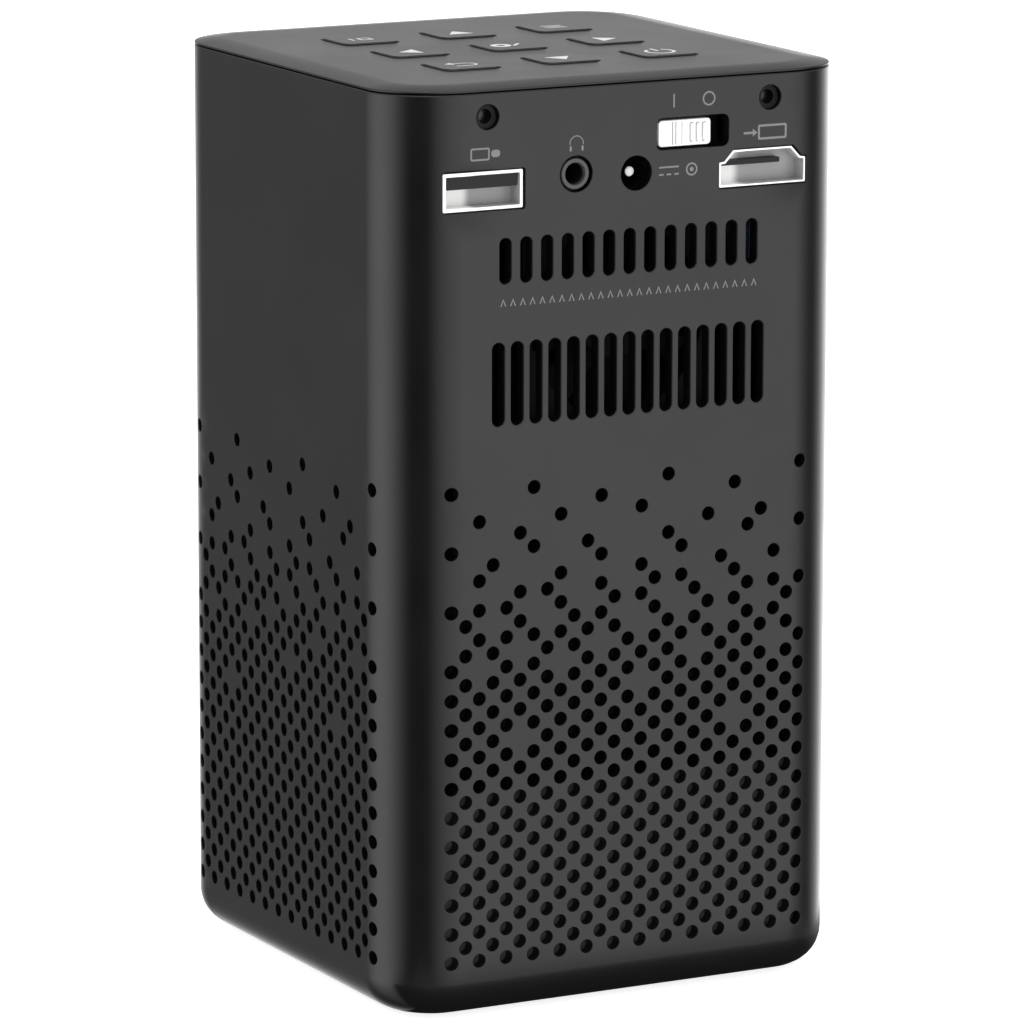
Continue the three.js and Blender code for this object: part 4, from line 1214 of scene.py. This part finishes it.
def base_pad():
    """The rubber foot, with a shallow groove inside its border."""
    skin = Skin()
    low, high = box_mm("base_pad")
    half, depth = high.x, low.z + PAD["groove"]
    outline = rounded_box(0, 0, 2 * half, 2 * half, PAD["corner"], 10)
    side = slab_side(skin, PLAN, outline, low.z, high.z, PAD["edge"])
    hole = circle(0, 0, PAD["hole"], 48)
    straight(skin, PLAN, hole, high.z, low.z, -1)
    groove_out, groove_in = (
        rounded_box(0, 0, 2 * (half - inset), 2 * (half - inset), corner, 10) for inset, corner in PAD_GROOVE
    )
    straight(skin, PLAN, groove_out, depth, low.z, -1)
    straight(skin, PLAN, groove_in, low.z, depth)
    flat(skin, PLAN, high.z, side, [hole])
    flat(skin, PLAN, depth, groove_out, [groove_in], out=-1)
    flat(skin, PLAN, low.z, side, [groove_out], out=-1)
    flat(skin, PLAN, low.z, groove_in, [hole], out=-1)
    skin.piece("foot_pad", "base_pad", "pad_rubber")


def tripod_insert():
    """A brass bush with a 1/4 inch thread, drawn as rings."""
    skin = Skin()
    low, high = box_mm("tripod_insert")
    bore, body, flange, seat, rim = (BUSH[key] for key in ("bore", "body", "flange", "seat", "rim"))
    crest, root, pitch = THREAD["crest"], THREAD["root"], THREAD["pitch"]
    path = [(bore, low.z), (body, low.z), (body, seat), (flange, seat), (flange, rim), (body, rim)]
    path += [(body, high.z), (bore, high.z)]
    for i in range(int((high.z - low.z) / pitch)):
        t = high.z - THREAD["start"] - i * pitch
        path += [(root, t), (crest, t - THREAD["rise"] * pitch), (crest, t - THREAD["fall"] * pitch)]
    turned(skin, PLAN, 0, 0, [*path, (bore, low.z)], 48, 0.08)
    skin.piece("tripod_bush", "tripod_insert", "insert_brass")


# ---- everything that keeps its CAD mesh ----


def finish_nodes():
    """Gives each CAD mesh that still shows its material and slightly softened edges."""
    for row in frame["record"]["subparts"]:
        node = frame["nodes"][row["node"]]
        if node.hide_render:
            continue
        node.data.materials.clear()
        node.data.materials.append(FINISHES[row["material_slot"]])
        soften = node.modifiers.new("soft_edges", "BEVEL")
        soften.width = CAD_EDGE * MM
        soften.segments = 2
        soften.limit_method = "ANGLE"
        soften.angle_limit = math.radians(40)


# ---- studio ----

CAMERA = {"azimuth": 152.08, "elevation": 11.277, "roll": 0.1, "lens": 236.07}
CAMERA_PLACE = (0.48004, 0.90736, 0.27403)

# Brightness of the studio below and above the horizon by compass direction, in degrees from +X towards +Y:
# soft boxes to the left and the right of the camera, a black flag beside it, and a bright backdrop.
LOW_STUDIO = [
    (-180, 0.55), (-172, 0.95), (-161, 1.7), (-150, 2.4), (-118, 2.2), (-98, 1.3), (-86, 0.62), (-75, 0.36),
    (-62, 0.26), (-52, 0.5), (-40, 1.25), (-26, 1.85), (-13, 2.0), (0, 1.6), (10, 1.0), (21, 0.4),
    (28, 0.05), (33, 0.0), (57, 0.0), (64, 0.15), (73, 0.65), (84, 1.05), (95, 1.32), (107, 1.55),
    (118, 1.75), (128, 1.62), (136, 1.25), (146, 0.65), (155, 0.25), (165, 0.12), (173, 0.25), (180, 0.55),
]
HIGH_STUDIO = [(-180, 0.5), (-60, 0.5), (0, 1.1), (120, 1.1), (180, 0.5)]
FALL = [(-1, 0.12), (-0.8, 0.25), (-0.5, 0.6), (-0.3, 0.95), (-0.15, 1), (1, 1)]  # by the height of the ray
HORIZON = (-0.04, 0.08)  # heights of the ray between which the two meet
BRIGHTEST = 3.0

FLOOR_REACH = 6000
# The card is a painted contact shadow that only reflections show: dark at the walls, glowing grey further
# out.
CARD = {"x": (-62, 58), "y": (-50, 62), "inner": 34, "strip": -30, "z": 0.1}
CARD_SPREAD = (36, 62)  # distances from the middle between which the card grows brighter
CARD_GLOW = (0.01, 0.42)
LAMP = {"size": 1.2, "energy": 6, "place": (0, 0.1, 1.3)}


def studio_world():
    """A soft surround that depends only on direction."""
    world = bpy.data.worlds.new("studio")
    world.use_nodes = True
    g = Nodes(world.node_tree)
    ray = g.add("ShaderNodeSeparateXYZ", {0: g.add("ShaderNodeTexCoord").outputs["Generated"]}).outputs
    compass_angle = g.math("DEGREES", g.math("ARCTAN2", ray["Y"], ray["X"]))
    low = g.ramp(compass_angle, LOW_STUDIO, -180, 180, BRIGHTEST)
    high = g.ramp(compass_angle, HIGH_STUDIO, -180, 180, BRIGHTEST)
    below = g.mix(1.0, low, g.ramp(ray["Z"], FALL, -1, 1), "MULTIPLY")
    background = g.tree.nodes["Background"]
    g.set(background.inputs["Color"], g.mix(g.between(ray["Z"], 0, 1, *HORIZON), below, high))
    g.set(background.inputs["Strength"], BRIGHTEST)
    bpy.context.scene.world = world


def glowing(g, greys, scale, roughness, strength):
    """A faintly mottled grey that gives light of its own."""
    g.colour(g.noise(scale), *(tinted((grey,) * 3, 1) for grey in greys))
    return g.shade(Roughness=roughness, Emission_Color=(1, 1, 1, 1), Emission_Strength=strength)


def studio_sheet(name, outline, z, material):
    mesh = bpy.data.meshes.new(name)
    mesh.from_pydata([(x * MM, y * MM, z * MM) for x, y in outline], [], [list(range(len(outline)))])
    mesh.materials.append(material)
    thing = placed_object(name, mesh)
    return thing


def studio_floor():
    """A wide pale table, lit from within like an opal sheet, that the gloss of the object doesn't show."""
    outline = [(a * FLOOR_REACH, b * FLOOR_REACH) for a, b in ((-1, -1), (1, -1), (1, 1), (-1, 1))]
    floor = studio_sheet("floor", outline, 0, glowing(Graph("floor_white"), (0.86, 0.9), 3, 0.9, 0.85))
    floor.visible_glossy = False


def painted_contact_shadow():
    """A card round the foot of the back and right walls that only gloss shows: a painted reflection of the
    floor's contact shadow, darkest near the walls and glowing brighter further out.
    """
    (right, left), (front, back) = CARD["x"], CARD["y"]
    inner, strip = CARD["inner"], CARD["strip"]
    outline = [(right, front), (strip, front), (strip, 0), (inner, 0), (inner, inner), (left, inner)]
    g = Graph("card_grey")
    away = g.math("MAXIMUM", g.math("MULTIPLY", g.coordinate("X"), -1), g.coordinate("Y"))
    # painted shadow: the glow rises from almost nothing at the walls to grey further out
    glow = g.between(g.eased(away, *CARD_SPREAD), *CARD_GLOW, 0, 1)
    material = glowing(g, (0.02, 0.03), 30, 1.0, glow)
    card = studio_sheet("card", [*outline, (left, back), (right, back)], CARD["z"], material)
    card.visible_camera = card.visible_diffuse = card.visible_shadow = card.visible_transmission = False


def studio_light():
    lamp = bpy.data.lights.new("overhead", "AREA")
    lamp.size = LAMP["size"]
    lamp.energy = LAMP["energy"]
    light = placed_object("overhead", lamp)
    light.location = LAMP["place"]


def camera():
    a, e = math.radians(CAMERA["azimuth"]), math.radians(CAMERA["elevation"])
    back = Vector((math.sin(a) * math.cos(e), -math.cos(a) * math.cos(e), math.sin(e)))
    right = UP.cross(back).normalized()
    level = Matrix((right, back.cross(right), back)).transposed()
    turn = level @ Matrix.Rotation(math.radians(CAMERA["roll"]), 3, "Z")
    lens = bpy.data.cameras.new("camera")
    lens.lens = CAMERA["lens"]
    lens.sensor_width = 36
    eye = placed_object("camera", lens)
    eye.matrix_world = Matrix.Translation(CAMERA_PLACE) @ turn.to_4x4()
    bpy.context.scene.camera = eye


# ---- the whole scene ----

body_shell()
lid()
for key_name in KEY_NODES:
    key(key_name)
for screw in ("lid_screw_left", "lid_screw_right"):
    lid_screw(screw)
data_socket()
video_socket()
audio_socket()
power_socket()
power_pin()
switch_knob()
lens_bezel()
window()
front_lens()
focus_wheel()
base_pad()
tripod_insert()
finish_nodes()
studio_world()
studio_floor()
painted_contact_shadow()
studio_light()
camera()
bpy.context.scene.view_settings.view_transform = "Standard"
